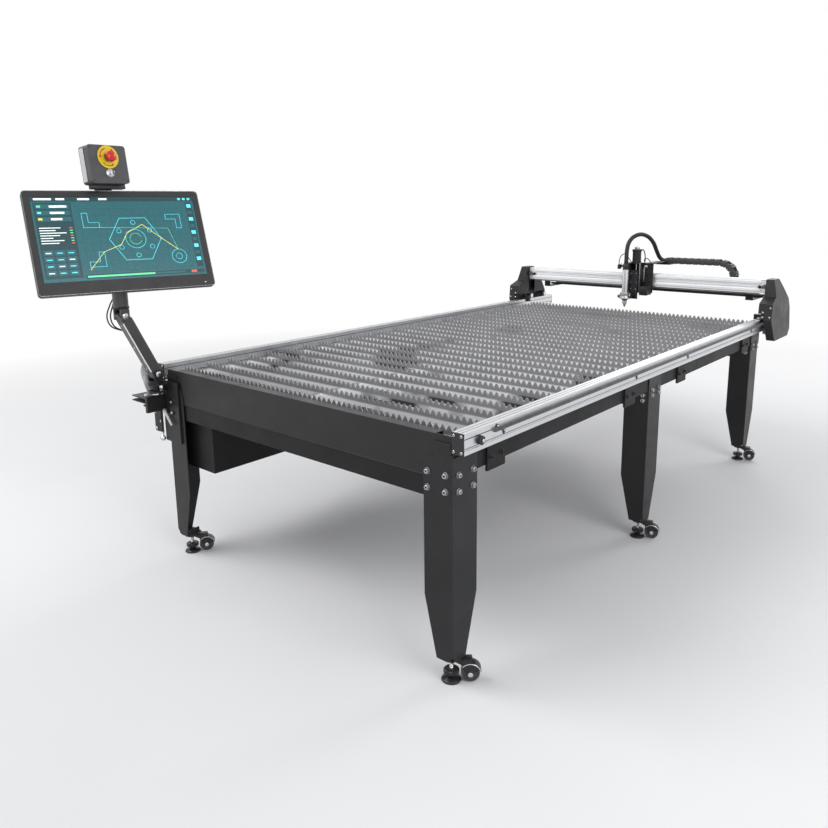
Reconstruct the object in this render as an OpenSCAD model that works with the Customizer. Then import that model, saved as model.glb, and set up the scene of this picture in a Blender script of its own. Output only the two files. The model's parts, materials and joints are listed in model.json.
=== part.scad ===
// CNC plasma cutting table: welded frame with slat bed, travelling gantry,
// torch carriage, levelling castors and a swivel-arm operator station.
// Working axes while building: X across the table from its centre plane,
// Y from the near rail ends towards the far end, Z up from the floor.

/* [Welded frame] */
// Width of the table across the outer faces of the rails
table_w = 1500; // [1400:10:1800]
// Length of the welded frame from front panel to rear member
frame_l = 2680; // [2500:10:3000]
// Height of the rail tops above the floor
table_h = 780; // [760:5:840]
// Width of a side beam
beam_w = 60; // [50:1:70]
// Height of a side beam
beam_h = 75; // [65:1:85]
// Wall of the beams and cross members
tube_t = 3; // [2:0.5:5]
// Height of a cross member under the beams
member_h = 70; // [50:1:80]
// Thickness of a cross member along the table
member_w = 30; // [24:1:40]
// Thickness of the front panel sheet
panel_t = 3; // [2:0.5:4]
// Drop of the front panel below the rail tops
panel_drop = 148; // [140:1:160]

/* [Legs and castors] */
// Thickness of the folded leg sheet
leg_t = 4; // [3:0.5:6]
// Width of the leg flange that faces the operator
leg_front_w = 104; // [90:1:120]
// Width of the leg flange that faces the side
leg_side_w = 113; // [100:1:120]
// Width of both flanges at the lower end
leg_foot_w = 60; // [55:1:70]
// Height at which the flanges start to taper
leg_taper_z = 270; // [200:5:400]
// Height of the leg's lower end above the floor
leg_z = 80; // [78:1:95]
// Radius of a castor wheel
wheel_r = 28; // [26:0.5:29]
// Width of a castor wheel
wheel_w = 24; // [20:0.5:28]
// Distance of the wheel axle from the swivel axis
wheel_off = 56; // [56:0.5:62]
// Radius of a levelling foot pad
pad_r = 30; // [26:0.5:32]
// Radius of the knurled wheel that lowers the pad
dial_r = 24; // [20:0.5:26]
// Radius of the levelling stem
stem_r = 6; // [5:0.25:7]

/* [Rails and racks] */
// Width of a rail
rail_w = 40; // [34:1:44]
// Height of a rail
rail_h = 62; // [56:1:66]
// Length by which the rails run past the frame
rail_over = 210; // [180:5:260]
// Module of the racks and pinions
gear_m = 2.5; // [2.5:0.5:3]
// Number of teeth on a drive pinion
pinion_z = 12; // [12:1:13]
// Face width of racks and pinions
rack_w = 12; // [8:0.5:13]
// Play between meshing teeth at the pitch line
gear_play = 0.4; // [0.3:0.05:0.6]

/* [Bed] */
// Distance between neighbouring slats
slat_pitch = 100; // [80:5:140]
// Thickness of a slat
slat_t = 3; // [2:0.5:5]
// Height of a slat
slat_h = 40; // [36:1:50]
// Distance between neighbouring saw teeth on a slat
tooth_pitch = 23.5; // [22:0.5:40]
// Depth of the notch between two teeth
tooth_depth = 17; // [10:0.5:20]
// Width of a notch at the slat's top
notch_w = 18; // [10:0.5:20]
// Depth of the slat tips below the rail tops
slat_drop = 12; // [8:1:20]
// Radius of the tray's drain
drain_r = 12.5; // [8:0.5:20]

/* [Gantry] */
// Height of the gantry beam
cross_h = 73; // [60:1:78]
// Depth of the gantry beam
cross_d = 50; // [44:1:56]
// Clear height of the beam above the rail tops
cross_lift = 125; // [120:1:140]
// Distance the parked gantry beam stays short of the rail ends
park_gap = 240; // [235:5:280]
// Radius of a track roller
roller_r = 15; // [12:0.5:15]
// Wall of the truck covers
cover_t = 2; // [1.5:0.5:3]

/* [Carriage and torch] */
// Distance of the torch from the table's centre plane at rest
torch_x = -20; // [-60:1:20]
// Radius of the torch body
torch_r = 19; // [15:0.5:20]
// Length of the torch body above its collar
torch_l = 206; // [180:1:230]
// Radius of the torch lead over its ribs
lead_r = 12; // [9:0.5:13]
// Height of the lifter housing
lifter_h = 172; // [160:1:190]
// Radius of the lifter screw
screw_r = 4; // [3:0.25:5]

/* [Drag chain] */
// Outer height of a chain link
chain_h = 35; // [28:1:38]
// Outer width of a chain link
chain_w = 60; // [40:1:64]
// Pitch of the chain links
link_l = 40; // [30:1:44]
// Radius of the bend at the middle of the links
bend_r = 80; // [75:1:90]

/* [Operator station] */
// Width of the monitor
screen_w = 587; // [480:1:640]
// Height of the monitor
screen_h = 365; // [300:1:400]
// Backward tilt of the monitor in degrees
screen_tilt = 21.8; // [0:0.1:30]
// Turn of the monitor about the upright in degrees
screen_yaw = 76.3; // [60:0.1:90]
// Radius of the upright post
post_r = 27; // [20:0.5:30]
// Horizontal reach of the arm link
arm_reach = 113; // [90:1:140]
// Rise of the arm link
arm_rise = 237; // [200:1:280]
// Width of the emergency stop box
stop_w = 140; // [120:1:150]
// Height of the emergency stop box
stop_h = 129; // [120:1:150]
// Depth of the emergency stop box
stop_d = 55; // [45:1:70]

/* [Cabinet] */
// Width of the control cabinet
cab_w = 220; // [180:5:260]
// Length of the control cabinet along the table
cab_l = 600; // [500:5:700]
// Height of the control cabinet
cab_h = 264; // [200:2:290]
// Wall of the cabinet
cab_t = 2; // [1.5:0.5:3]
// Radius of the cable gland bore
gland_r = 16; // [8:0.5:20]

/* [Hidden] */

$fn = 48;
gap = 0.3;                 // clearance between pieces of different bodies
eps = 0.01;                // overshoot of a cut through a face

steel_dark = [0.11, 0.11, 0.12];
steel_bare = [0.42, 0.42, 0.41];
steel_bright = [0.78, 0.78, 0.80];
alloy = [0.84, 0.85, 0.87];
rubber = [0.06, 0.06, 0.06];

// Rails, beams and legs, each from the piece that carries it
rail_l = frame_l + rail_over;
rail_out = table_w / 2;
rail_in = rail_out - rail_w;
rail_mid = (rail_out + rail_in) / 2;
rail_bot = table_h - rail_h;
bracket_shelf = 3;
leg_x = rail_in - 3;
beam_x = leg_x - leg_t;
beam_in = beam_x - beam_w;
beam_top = rail_bot - bracket_shelf;
beam_bot = beam_top - beam_h;
panel_y = 8;
panel_top = table_h - 19;
panel_bot = table_h - panel_drop;
rear_leg_back = 142;
leg_cut = 20;              // the corner of a leg ends higher than its edges
leg_y0 = panel_y - leg_t;
leg_pitch = (frame_l - rear_leg_back - leg_y0) / 2;
leg_ys = [for (i = [0:2]) leg_y0 + i * leg_pitch];
member_ys = [for (i = [0:2]) leg_ys[i] + leg_t + (i == 0 ? panel_t : 0)];
member_bot = beam_bot - member_h;
bracket_w = 90;
bracket_ys = [for (k = [0.077, 0.4075, 0.595, 0.905]) k * frame_l];
bracket_t = 8;
bracket_out = rail_in + 18;
bolt_in = 24;              // bolt centres from a flange's outer edge
bolt_low = beam_bot - 40;
bolt_high = beam_bot + 8;

// Castors
castor_in = 35;            // swivel axis from the leg's outer face
castor_back = 38;          // swivel axis behind the leg's front face
castors = [for (y = leg_ys) for (s = [-1, 1]) [s * (leg_x - castor_in), y + castor_back]];
castor_turns = [35, 52, 40, 66, 40, 70];   // where each wheel trails, from +Y towards +X
plate_t = 6;               // castor mounting plate
race_h = 8;                // swivel race
fork_top = leg_z - race_h;
fork_t = 3;
axle_r = 4;
fender_gap = 2.5;
fender_t = 2.5;

// Slats
bed_y0 = 66;
bed_y1 = frame_l - 86;
slat_n = floor((bed_y1 - bed_y0) / slat_pitch) + 1;
slat_x = beam_in + 27;
slat_top = table_h - slat_drop;
slat_bot = slat_top - slat_h;
comb_t = 5;
comb_top = slat_bot + 18;
comb_lead = 16;
comb_slot = slat_t + 1;
tray_t = 3;

// Gantry
rest_y = rail_l - park_gap;            // front face of the beam at rest
cross_z = table_h + cross_lift;        // underside of the beam
cross_top = cross_z + cross_h;
cross_x = rail_out - 17;               // end of the beam
plate_x = rail_out + 13;               // inner face of a truck plate
truck_t = 8;
truck_y0 = rest_y - 42;
truck_y1 = rest_y + 180;
cover_x = rail_out + 53;               // outer face of a truck cover
add = 0.65 * gear_m;                   // stub addendum
ded = 0.9 * gear_m;
gear_p = PI * gear_m;
pinion_r = gear_m * pinion_z / 2;
rack_base = ded + 4.75;                // pitch line above the rack's back
pinion_x = rail_out + rack_base + pinion_r;
pinion_y = rest_y - 90;
rack_z = rail_bot + 37;
rack_y0 = 130;
rack_n = floor((rail_l - 10 - rack_y0) / gear_p);
roller_w = 32;
roller_ys = [rest_y, rest_y + 160];
roller_zs = [table_h + roller_r, rail_bot - roller_r];
roller_axle_r = 5;
motor_w = 56;
motor_z = table_h + 8;                 // underside of a gantry motor
motor_l = 66;

// Carriage
guide_h = 12;
guide_d = 6;
guide_zs = [cross_z + 16, cross_top - 16];
carriage_y = rest_y - 24;              // front face of the carriage plate
carriage_t = 8;
carriage_x0 = torch_x - 20;
carriage_x1 = torch_x + 130;
x_pitch_z = cross_z - rack_base;       // pitch line of the downward X rack
x_pinion_x = torch_x + 100;
x_pinion_z = x_pitch_z - pinion_r;
x_rack_half = 700;
x_rack_y = rest_y + 2;
lifter_x0 = torch_x + 8;
lifter_x1 = torch_x + 70;
lifter_z = cross_z - 35;
lifter_y = rest_y - 70;                // open front of the lifter housing
lifter_t = 4;
screw_x = (lifter_x0 + lifter_x1) / 2;
screw_y = lifter_y + 23;
slider_t = 7;
torch_y = rest_y - 100;
collar_z = table_h + 55;
collar_h = 35;
collar_r = torch_r + 9;
torch_top = collar_z - 5 + torch_l;

// Drag chain: fixed end at chain_fix, moving end at chain_end
chain_y = rest_y + 165;                // front side of the chain
chain_low = cross_z - 39;
chain_end = torch_x + 120;
chain_fix = 20;
top_links = 8;
bend_links = 6;
chain_turn = chain_end + top_links * link_l;
low_links = floor((chain_turn - chain_fix) / link_l);
bend_z = chain_low + chain_h / 2 + bend_r;
chain_wall = 3;

// Operator station
arm_x = -(leg_x + 8);
arm_y = -37;
arm_z = table_h - 30;
bearing_zs = [table_h - 105, table_h - 75];
bearing_t = 8;
bearing_top = bearing_zs[1] + bearing_t;
elbow_y = arm_y - arm_reach;
elbow_z = arm_z + arm_rise;
post_top = elbow_z + 238;
screen_c = [arm_x + 113, elbow_y - 28, post_top + 39];
bezel_d = 22;
back_d = 23;
tilt_back = bezel_d + back_d + 17;     // tilt pin behind the screen's face
corner_r = 12;
stop_c = screen_c + [-38, -8, 257];
stop_yaw = 94.4;
stop_tilt = 7.5;
bracket_x0 = -(leg_x + 20);
bracket_l = 104;
hang_z = [table_h - 306, table_h - 184];    // lower and upper end of the hanging parts
tray_zs = [table_h - 152, table_h - 134];   // two plates of the keyboard tray
tray_x0 = bracket_x0 - 123;
tray_w = 76;
tray_pin = [bracket_x0 - 25, leg_y0 - 64];
tray_pin_r = 5;

// Cabinet
cab_x = 50 - rail_out;
cab_y = member_ys[0] + member_w + 2;
cab_top = member_bot + member_h - 2;
cab_z = cab_top - cab_h;
gland_x = cab_x + 0.6 * cab_w;
hinge_y = cab_y + cab_l - 10;
door_y0 = cab_y + 116;
door_y1 = hinge_y - 10;
door_z0 = cab_z + 8;
door_z1 = cab_top - 22;
latch_y = door_y0 + 24;
latch_z = (cab_z + cab_top) / 2;
knuckle_zs = [cab_z + 40, cab_top - 76];

// Whole model: centre of its box goes to the origin
function turn_r(a) = [cos(a), sin(a), 0];
function turn_n(a, t) = [sin(a) * cos(t), -cos(a) * cos(t), sin(t)];
function turn_u(a, t) = [-sin(a) * sin(t), cos(a) * sin(t), cos(t)];
screen_r = turn_r(screen_yaw);
screen_u = turn_u(screen_yaw, screen_tilt);
// Lowest Y of the monitor's rounded front rim
y_near = screen_c[1] - (screen_w / 2 - corner_r) * screen_r[1] - (screen_h / 2 - corner_r) * screen_u[1]
    - corner_r * norm([screen_r[1], screen_u[1]]);
cap_t = 3;
y_far = rail_l + cap_t;
x_left = tray_x0;
x_mid = (cover_x + x_left) / 2;
y_mid = (y_near + y_far) / 2;

module placed() translate([-x_mid, -y_mid, 0]) children();
// Both sides of the table
module sides() for (s = [0, 1]) mirror([s, 0, 0]) children();
// Outlines drawn as (X, Z), with the sheet running from y to y + t
module xz(y, t) translate([0, y + t, 0]) rotate([90, 0, 0]) linear_extrude(t) children();
// Outlines drawn as (Y, Z), with the sheet running from x to x + t
module yz(x, t) translate([x, 0, 0]) rotate([90, 0, 90]) linear_extrude(t) children();
// A box from its two corners
module block(a, b) translate(a) cube(b - a);
module rod_x(p, r, l) translate(p) rotate([0, 90, 0]) cylinder(r = r, h = l);
module rod_y(p, r, l) translate(p) rotate([-90, 0, 0]) cylinder(r = r, h = l);
module rod_z(p, r, l) translate(p) cylinder(r = r, h = l);
module hex_head(af = 16, h = 6) {
    cylinder(r = af * 0.72, h = 1.6);
    cylinder(r = af / 2 / cos(30), h = h, $fn = 6);
}
// Hollow rectangular tube with its corners at a and b, open along one axis
module tube_y(a, b, t) difference() {
    block(a, b);
    block(a + [t, -eps, t], b + [-t, eps, -t]);
}
module tube_x(a, b, t) difference() {
    block(a, b);
    block(a + [-eps, t, t], b + [eps, -t, -t]);
}

// ---- Welded frame ----
module front_panel() color(steel_dark) placed() {
    xz(panel_y, panel_t) polygon([
        [-beam_x, panel_bot], [beam_x, panel_bot], [beam_x, panel_top - 48],
        [leg_x - 6, panel_top - 48], [leg_x - 6, panel_top], [-leg_x + 6, panel_top],
        [-leg_x + 6, panel_top - 48], [-beam_x, panel_top - 48]
    ]);
    block([-beam_in, panel_y + panel_t, panel_top - panel_t], [beam_in, panel_y + 36, panel_top]);
    block([-beam_in, panel_y + 36 - panel_t, beam_top + 1], [beam_in, panel_y + 36, panel_top - panel_t]);
}

module base_frame() color(steel_dark) placed() {
    y0 = panel_y + panel_t;
    sides() tube_y([beam_in, y0, beam_bot], [beam_x, frame_l, beam_top], tube_t);
    for (y = [y0, frame_l - 40])
        tube_x([-beam_in, y, beam_bot], [beam_in, y + 40, beam_top], tube_t);
    for (y = member_ys)
        tube_x([-beam_x, y, member_bot], [beam_x, y + member_w, beam_bot], tube_t);
    // Welded brackets that carry the rails
    sides() for (y = bracket_ys) {
        block([beam_x, y - bracket_w / 2, beam_bot - 18],
              [beam_x + bracket_t, y + bracket_w / 2, rail_bot]);
        block([beam_x + bracket_t, y - bracket_w / 2, rail_bot - 8],
              [bracket_out, y + bracket_w / 2, rail_bot]);
    }
}

module leg_front(tall) {
    edge = leg_x - leg_front_w;
    foot = leg_x - leg_foot_w;
    step = 40;
    top = tall ? panel_top - 21 : beam_bot;
    tab_in = edge + step;
    tab_out = leg_x - 6;
    shoulder = tall
        ? [for (a = [0:15:90]) [tab_in - step * sin(a), top - 42 - 50 * (1 - cos(a))]]
        : [[edge, top]];
    tab = tall ? [[tab_out, beam_top - 9], [tab_out, top], [tab_in, top]] : [];
    polygon(concat(
        [[leg_x, leg_z + leg_cut], [leg_x, tall ? beam_top - 15 : top]], tab, shoulder,
        [[edge, leg_taper_z], [foot, leg_z], [leg_x - leg_cut, leg_z]]
    ));
}

module leg_side() polygon([
    [0, leg_z + leg_cut], [0, beam_top - 15], [leg_side_w, beam_top - 15],
    [leg_side_w, leg_taper_z], [leg_foot_w, leg_z], [leg_cut, leg_z]
]);

module legs() color(steel_dark) placed() sides() for (i = [0:2]) {
    xz(leg_ys[i], leg_t) leg_front(i == 0);
    yz(leg_x - leg_t, leg_t) translate([leg_ys[i], 0]) leg_side();
    // Castor plate welded into the lower end, with the thread of the levelling stem
    difference() {
        block([leg_x - leg_foot_w, leg_ys[i] + leg_t, leg_z],
              [leg_x - leg_t, leg_ys[i] + 66, leg_z + plate_t]);
        rod_z([leg_x - castor_in, leg_ys[i] + castor_back, leg_z - 1], stem_r + 0.05, plate_t + 2);
    }
}

module rail_section() difference() {
    polygon([
        [rail_in, rail_bot], [rail_out, rail_bot],
        [rail_out, rail_bot + 12], [rail_out - 3, rail_bot + 13],
        [rail_out - 3, rail_bot + 17], [rail_out, rail_bot + 18],
        [rail_out, table_h], [rail_in, table_h],
        [rail_in, rail_bot + 18], [rail_in + 3, rail_bot + 17],
        [rail_in + 3, rail_bot + 13], [rail_in, rail_bot + 12]
    ]);
    translate([rail_in + 6, rail_bot + 24]) square([rail_w - 12, rail_h - 30]);
}

module rails() color(alloy) placed() sides() xz(0, rail_l) rail_section();

// One straight rack in (along, up) with its pitch line at up = rack_base
module rack_outline(n, start) {
    tip = gear_p / 4 - add * tan(20);
    root = gear_p / 4 + ded * tan(20);
    low = rack_base - ded;
    high = rack_base + add;
    polygon(concat(
        [[start + n * gear_p, 0], [start, 0], [start, low]],
        [for (i = [0:n - 1]) let (c = start + (i + 0.5) * gear_p)
            each [[c - root, low], [c - tip, high], [c + tip, high], [c + root, low]]],
        [[start + n * gear_p, low]]
    ));
}

// Start of a rack that puts a tooth gap on the pinion's centre
function rack_start(centre, low) = centre - floor((centre - low) / gear_p) * gear_p;

module racks() color(steel_bare) placed() sides()
    translate([rail_out, 0, rack_z]) rotate([0, 0, 90]) mirror([0, 1, 0])
        linear_extrude(rack_w) rack_outline(rack_n, rack_start(pinion_y, rack_y0));

module end_caps() color(rubber) placed() sides() {
    for (y = [-cap_t, rail_l]) xz(y, cap_t) translate([rail_in, rail_bot]) square([rail_w, rail_h]);
    // Hexagonal end stop of the travel
    translate([rail_out, 69, table_h - 32]) rotate([0, 90, 0]) {
        cylinder(r = 14, h = 10, $fn = 6);
        cylinder(r = 5, h = 14);
    }
}

module frame_bolts() color(steel_dark) placed() {
    // The arm bracket takes the place of the outer bolts on the left front leg
    for (i = [0:2]) for (z = [bolt_low, i == 0 ? bolt_high : bolt_low + 22]) for (s = i == 0 ? [1] : [-1, 1])
        for (x = [leg_x - bolt_in, leg_x - leg_front_w + 15])
            translate([s * x, leg_ys[i], z]) rotate([90, 0, 0]) hex_head();
    sides() side_bolts();
}

module side_bolts() {
    for (i = [0:2]) for (z = [bolt_low, i == 0 ? bolt_high : bolt_low + 22])
        for (y = [leg_ys[i] + bolt_in + 2, leg_ys[i] + leg_side_w - 21])
            translate([leg_x, y, i == 0 ? z : z + 20]) rotate([0, 90, 0]) hex_head();
    for (y = bracket_ys) for (d = [-1, 1]) translate([beam_x + bracket_t, y + d * 28, beam_bot + 22])
        rotate([0, 90, 0]) hex_head(13, 5);
    for (x = [rail_in + 7, rail_out - 7]) for (z = [rail_bot + 8, table_h - 8])
        rod_y([x, -cap_t - 2, z], 3.5, 2);
}

// ---- Bed ----
module slat_outline() {
    n = floor(2 * slat_x / tooth_pitch);
    x0 = -n * tooth_pitch / 2;
    polygon(concat(
        [[slat_x, slat_top], [slat_x, slat_bot], [-slat_x, slat_bot], [-slat_x, slat_top]],
        [for (i = [0:n - 1]) let (c = x0 + (i + 0.5) * tooth_pitch)
            each [[c - notch_w / 2, slat_top], [c, slat_top - tooth_depth], [c + notch_w / 2, slat_top]]]
    ));
}

module comb_outline(z0) {
    mid = slat_t / 2;
    y_end = bed_y0 + (slat_n - 1) * slat_pitch + 14;
    slope = 10;
    polygon(concat(
        [[y_end, z0], [bed_y0 - 8, z0], [bed_y0 - 8, comb_top - slope]],
        [for (i = [0:slat_n - 1]) let (c = bed_y0 + i * slat_pitch + mid) each concat(
            i == 0 ? [] : [[c - comb_slot / 2 - comb_lead, comb_top]],
            [[c - comb_slot / 2, comb_top - slope], [c - comb_slot / 2, slat_bot - gap],
             [c + comb_slot / 2, slat_bot - gap], [c + comb_slot / 2, comb_top - slope]],
            i == slat_n - 1 ? [] : [[c + comb_slot / 2 + comb_lead, comb_top]]
        )],
        [[y_end, comb_top - slope]]
    ));
}

module slat_bed() color(steel_bare) placed() {
    for (i = [0:slat_n - 1]) xz(bed_y0 + i * slat_pitch, slat_t) slat_outline();
    // Slotted strips that hold the slats upright
    sides() yz(beam_in + 8, comb_t) comb_outline(beam_top);
    yz(-comb_t / 2, comb_t) comb_outline(beam_bot + tray_t);
}

module slag_tray() color([0.30, 0.30, 0.30]) placed() {
    y0 = panel_y + panel_t + 41;
    y1 = frame_l - 41;
    drain = [400, y0 + 0.7 * (y1 - y0)];
    difference() {
        union() {
            difference() {
                block([-beam_in + gap, y0, beam_bot], [beam_in - gap, y1, beam_top - 12]);
                block([-beam_in + gap + tray_t, y0 + tray_t, beam_bot + tray_t],
                      [beam_in - gap - tray_t, y1 - tray_t, beam_top]);
            }
            rod_z([drain[0], drain[1], beam_bot - 40], drain_r + 3, 40);
        }
        rod_z([drain[0], drain[1], beam_bot - 41], drain_r, 60);
    }
}

// ---- Castors and feet ----
// A castor's own axes: swivel axis up through the origin, wheel on the +Y side
module on_castor(i) placed() translate([castors[i][0], castors[i][1], 0])
    rotate([0, 0, -castor_turns[i]]) children();

// Band over the wheel between two radii about the axle
module fender(r0, r1) polygon([
    for (a = [15:15:135]) [wheel_off + r0 * cos(a), wheel_r + r0 * sin(a)],
    for (a = [135:-15:15]) [wheel_off + r1 * cos(a), wheel_r + r1 * sin(a)]
]);

module castor_fork(i) color(steel_bright) on_castor(i) {
    cheek_in = wheel_w / 2 + 1;
    hub = 11;
    difference() {
        union() {
            rod_z([0, 0, fork_top], 27, race_h - gap);
            rod_z([0, 0, fork_top - 5], 22, 5);
            block([-cheek_in - fork_t, 0, fork_top - 5], [cheek_in + fork_t, wheel_off + 6, fork_top]);
            for (s = [-1, 1]) translate([s > 0 ? cheek_in : -cheek_in - fork_t, 0, 0])
                yz(0, fork_t) polygon([
                    [wheel_off - 26, fork_top], [wheel_off + 6, fork_top], [wheel_off + 24, wheel_r + 24],
                    for (a = [30:-30:-120]) [wheel_off + hub * cos(a), wheel_r + hub * sin(a)],
                    [wheel_off - 26, wheel_r + 22]
                ]);
            yz(-cheek_in - fork_t, 2 * (cheek_in + fork_t))
                fender(wheel_r + fender_gap, wheel_r + fender_gap + fender_t);
        }
        rod_z([0, 0, fork_top - 10], stem_r + 0.5, 40);
    }
    rod_x([-cheek_in - fork_t - 2, wheel_off, wheel_r], axle_r, 2 * (cheek_in + fork_t + 2));
}

module castor_wheel(i) color([0.16, 0.16, 0.17]) on_castor(i)
    translate([-wheel_w / 2, wheel_off, wheel_r]) rotate([0, 90, 0])
        rotate_extrude() polygon([
            [axle_r + 0.05, 0], [wheel_r - 3, 0], [wheel_r, 3],
            [wheel_r, wheel_w - 3], [wheel_r - 3, wheel_w], [axle_r + 0.05, wheel_w]
        ]);

module levelling_feet() color([0.2, 0.2, 0.2]) placed() for (c = castors) translate([c[0], c[1], 0])
    rotate_extrude() polygon([
        [0, 0], [pad_r, 0], [pad_r, 6], [pad_r - 6, 11], [stem_r + 5, 15], [stem_r, 15],
        [stem_r, 22], [dial_r - 2, 22], [dial_r, 24], [dial_r, 35], [dial_r - 2, 37], [stem_r, 37],
        [stem_r, leg_z + plate_t + 12], [0, leg_z + plate_t + 12]
    ]);

// ---- Control cabinet ----
module cabinet_body() color(steel_dark) placed() difference() {
    union() {
        difference() {
            block([cab_x, cab_y, cab_z], [cab_x + cab_w, cab_y + cab_l, cab_top]);
            block([cab_x - 1, door_y0 + 8, door_z0 + 8], [cab_x + cab_t + 1, door_y1 - 8, door_z1 - 8]);
            block([cab_x + cab_t, cab_y + cab_t, cab_z + cab_t],
                  [cab_x + cab_w - cab_t, cab_y + cab_l - cab_t, cab_top - cab_t]);
        }
        // Hangers up to the cross member
        for (x = [cab_x + 20, cab_x + cab_w - 50])
            block([x, cab_y - 2, cab_top - 40], [x + 30, cab_y, cab_top - 4]);
        rod_y([gland_x, cab_y + cab_l, cab_z + 60], gland_r + 5, 14);
        // Fixed knuckles of the door hinge
        for (z = knuckle_zs) difference() {
            union() {
                rod_z([cab_x - 6, hinge_y, z], 5, 12);
                block([cab_x - 6, hinge_y, z], [cab_x, hinge_y + 5, z + 12]);
            }
            rod_z([cab_x - 6, hinge_y, z - 1], 2.55, 14);
        }
    }
    rod_y([gland_x, cab_y + cab_l - cab_t - 1, cab_z + 60], gland_r, 20);
}

module cabinet_electronics() color([0.55, 0.56, 0.58]) placed() {
    x1 = cab_x + cab_w - cab_t;
    z0 = cab_z + cab_t;
    block([x1 - 2, cab_y + 20, z0], [x1, cab_y + cab_l - 20, cab_top - 20]);
    // Motion controller, four motor drives and a power supply on the back plate
    block([x1 - 52, cab_y + 40, z0 + 130], [x1 - 2, cab_y + 200, z0 + 220]);
    for (i = [0:3])
        block([x1 - 82, cab_y + 230 + i * 60, z0 + 110], [x1 - 2, cab_y + 270 + i * 60, z0 + 230]);
    block([x1 - 112, cab_y + 60, z0 + 10], [x1 - 2, cab_y + 260, z0 + 70]);
}

module cabinet_door() color(steel_dark) placed() {
    difference() {
        block([cab_x - 3, door_y0, door_z0], [cab_x - gap, door_y1, door_z1]);
        rod_x([cab_x - 6, latch_y, latch_z], 6.1, 12);
    }
    // Hinge barrel and pins that drop into the fixed knuckles
    for (z = knuckle_zs) {
        rod_z([cab_x - 6, hinge_y, z + 12 + gap], 5, 20);
        rod_z([cab_x - 6, hinge_y, z + 1], 2.5, 14);
        block([cab_x - 8, hinge_y - 14, z + 12 + gap], [cab_x - 3, hinge_y, z + 32 + gap]);
    }
}

module door_latch() color(steel_bright) placed() translate([cab_x, latch_y, latch_z]) {
    rod_x([-8, 0, 0], 6, 8 + cab_t + 3);
    rod_x([-8, 0, 0], 11, 4.7);
    block([-12, -3, -14], [-8, 3, 14]);
    block([cab_t + gap, -22, -4], [cab_t + 3, 5, 4]);
}

// ---- Gantry ----
module gantry_beam() color(alloy) placed() {
    yz(-cross_x, 2 * cross_x) difference() {
        translate([rest_y, cross_z]) square([cross_d, cross_h]);
        translate([rest_y + 4, cross_z + 4]) square([cross_d - 8, cross_h - 8]);
        for (k = [0.38, 0.62]) translate([rest_y - eps, cross_z + k * cross_h]) square([1.2, 1.5]);
    }
    // Guide rails of the carriage
    for (z = guide_zs)
        block([-x_rack_half, rest_y - guide_d, z - guide_h / 2], [x_rack_half, rest_y + 1, z + guide_h / 2]);
}

module x_rack() color(steel_dark) placed() {
    start = rack_start(x_pinion_x, -x_rack_half);
    n = floor(2 * (x_rack_half - 4) / gear_p);
    translate([0, x_rack_y + rack_w, cross_z]) rotate([90, 0, 0]) mirror([0, 1, 0])
        linear_extrude(rack_w) rack_outline(n, start);
    // Rubber end stops of the carriage
    sides() translate([cross_x - 14, rest_y, cross_z + cross_h / 2]) rotate([90, 0, 0]) {
        cylinder(r = 11, h = 16, $fn = 6);
        cylinder(r = 6, h = 20);
    }
}

module truck_plates() color(steel_dark) placed() sides() {
    difference() {
        union() {
            yz(plate_x, truck_t) polygon([
                [truck_y0, rail_bot - 34], [truck_y1, rail_bot - 34], [truck_y1, table_h + 30],
                [rest_y + 90, cross_top - 40], [rest_y + 50, cross_top - 8],
                [truck_y0 + 14, cross_top - 8], [truck_y0, table_h + 90]
            ]);
            // End plate of the beam, bridged to the truck plate
            block([cross_x, rest_y - 8, cross_z - 10], [cross_x + 8, rest_y + cross_d, cross_top]);
            block([cross_x + 8, rest_y, cross_z - 4], [plate_x, rest_y + cross_d, cross_z + 8]);
            block([cross_x + 8, rest_y, cross_top - 30], [plate_x, rest_y + cross_d, cross_top - 18]);
            // Plate that carries the drive motor
            block([rail_out - 10, pinion_y - 30, motor_z - 5], [cover_x - cover_t, truck_y0, motor_z]);
            // Scraper block that guides along the rail's inner side
            block([rail_in - 14, truck_y0 - 26, table_h + 4], [rail_out - 8, truck_y0 - 4, table_h + 21]);
            block([rail_in - 14, truck_y0 - 26, table_h - 15], [rail_in - 2, truck_y0 - 4, table_h + 4]);
        }
        rod_z([pinion_x, pinion_y, motor_z - 6], 19, 8);
        for (y = roller_ys) for (z = roller_zs)
            rod_x([plate_x - 1, y, z], roller_axle_r + 0.05, truck_t + 2);
    }
}

// Corners of an outline moved inwards by t, for outlines that run anticlockwise
function inward(a, b) = let (d = b - a) [-d[1], d[0]] / norm(d);
function inset(p, t) = [for (i = [0:len(p) - 1]) let (
    q = p[(i + len(p) - 1) % len(p)], r = p[(i + 1) % len(p)],
    n1 = inward(q, p[i]), n2 = inward(p[i], r)
) p[i] + (n1 + n2) * t / (1 + n1 * n2)];

cover_side = [
    [rest_y - 46, rail_bot - 53], [rest_y + 189, rail_bot - 53], [rest_y + 220, rail_bot - 18],
    [rest_y + 190, table_h + 40], [rest_y + 151, table_h + 101], [rest_y + 101, table_h + 156],
    [rest_y + 50, cross_top + 5], [rest_y - 33, cross_top + 5], [rest_y - 48, cross_z - 8],
    [rest_y - 124, table_h + 86], [rest_y - 132, table_h]
];
cover_front = [
    [rail_out + 12, rail_bot - 53], [cover_x, rail_bot - 53], [cover_x, table_h + 90],
    [rail_out + 25, cross_top + 5], [rail_out - 15, cross_top + 5],
    [rail_out - 15, table_h + 6], [rail_out + 12, table_h + 6]
];

// The side outline, drawn across more than the cover's width
module cover_across(t) yz(rail_out - 60, 160) polygon(inset(cover_side, t));

module cover_solid(t) intersection() {
    xz(rest_y - 200, 500) polygon(inset(cover_front, t));
    cover_across(t);
}

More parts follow.
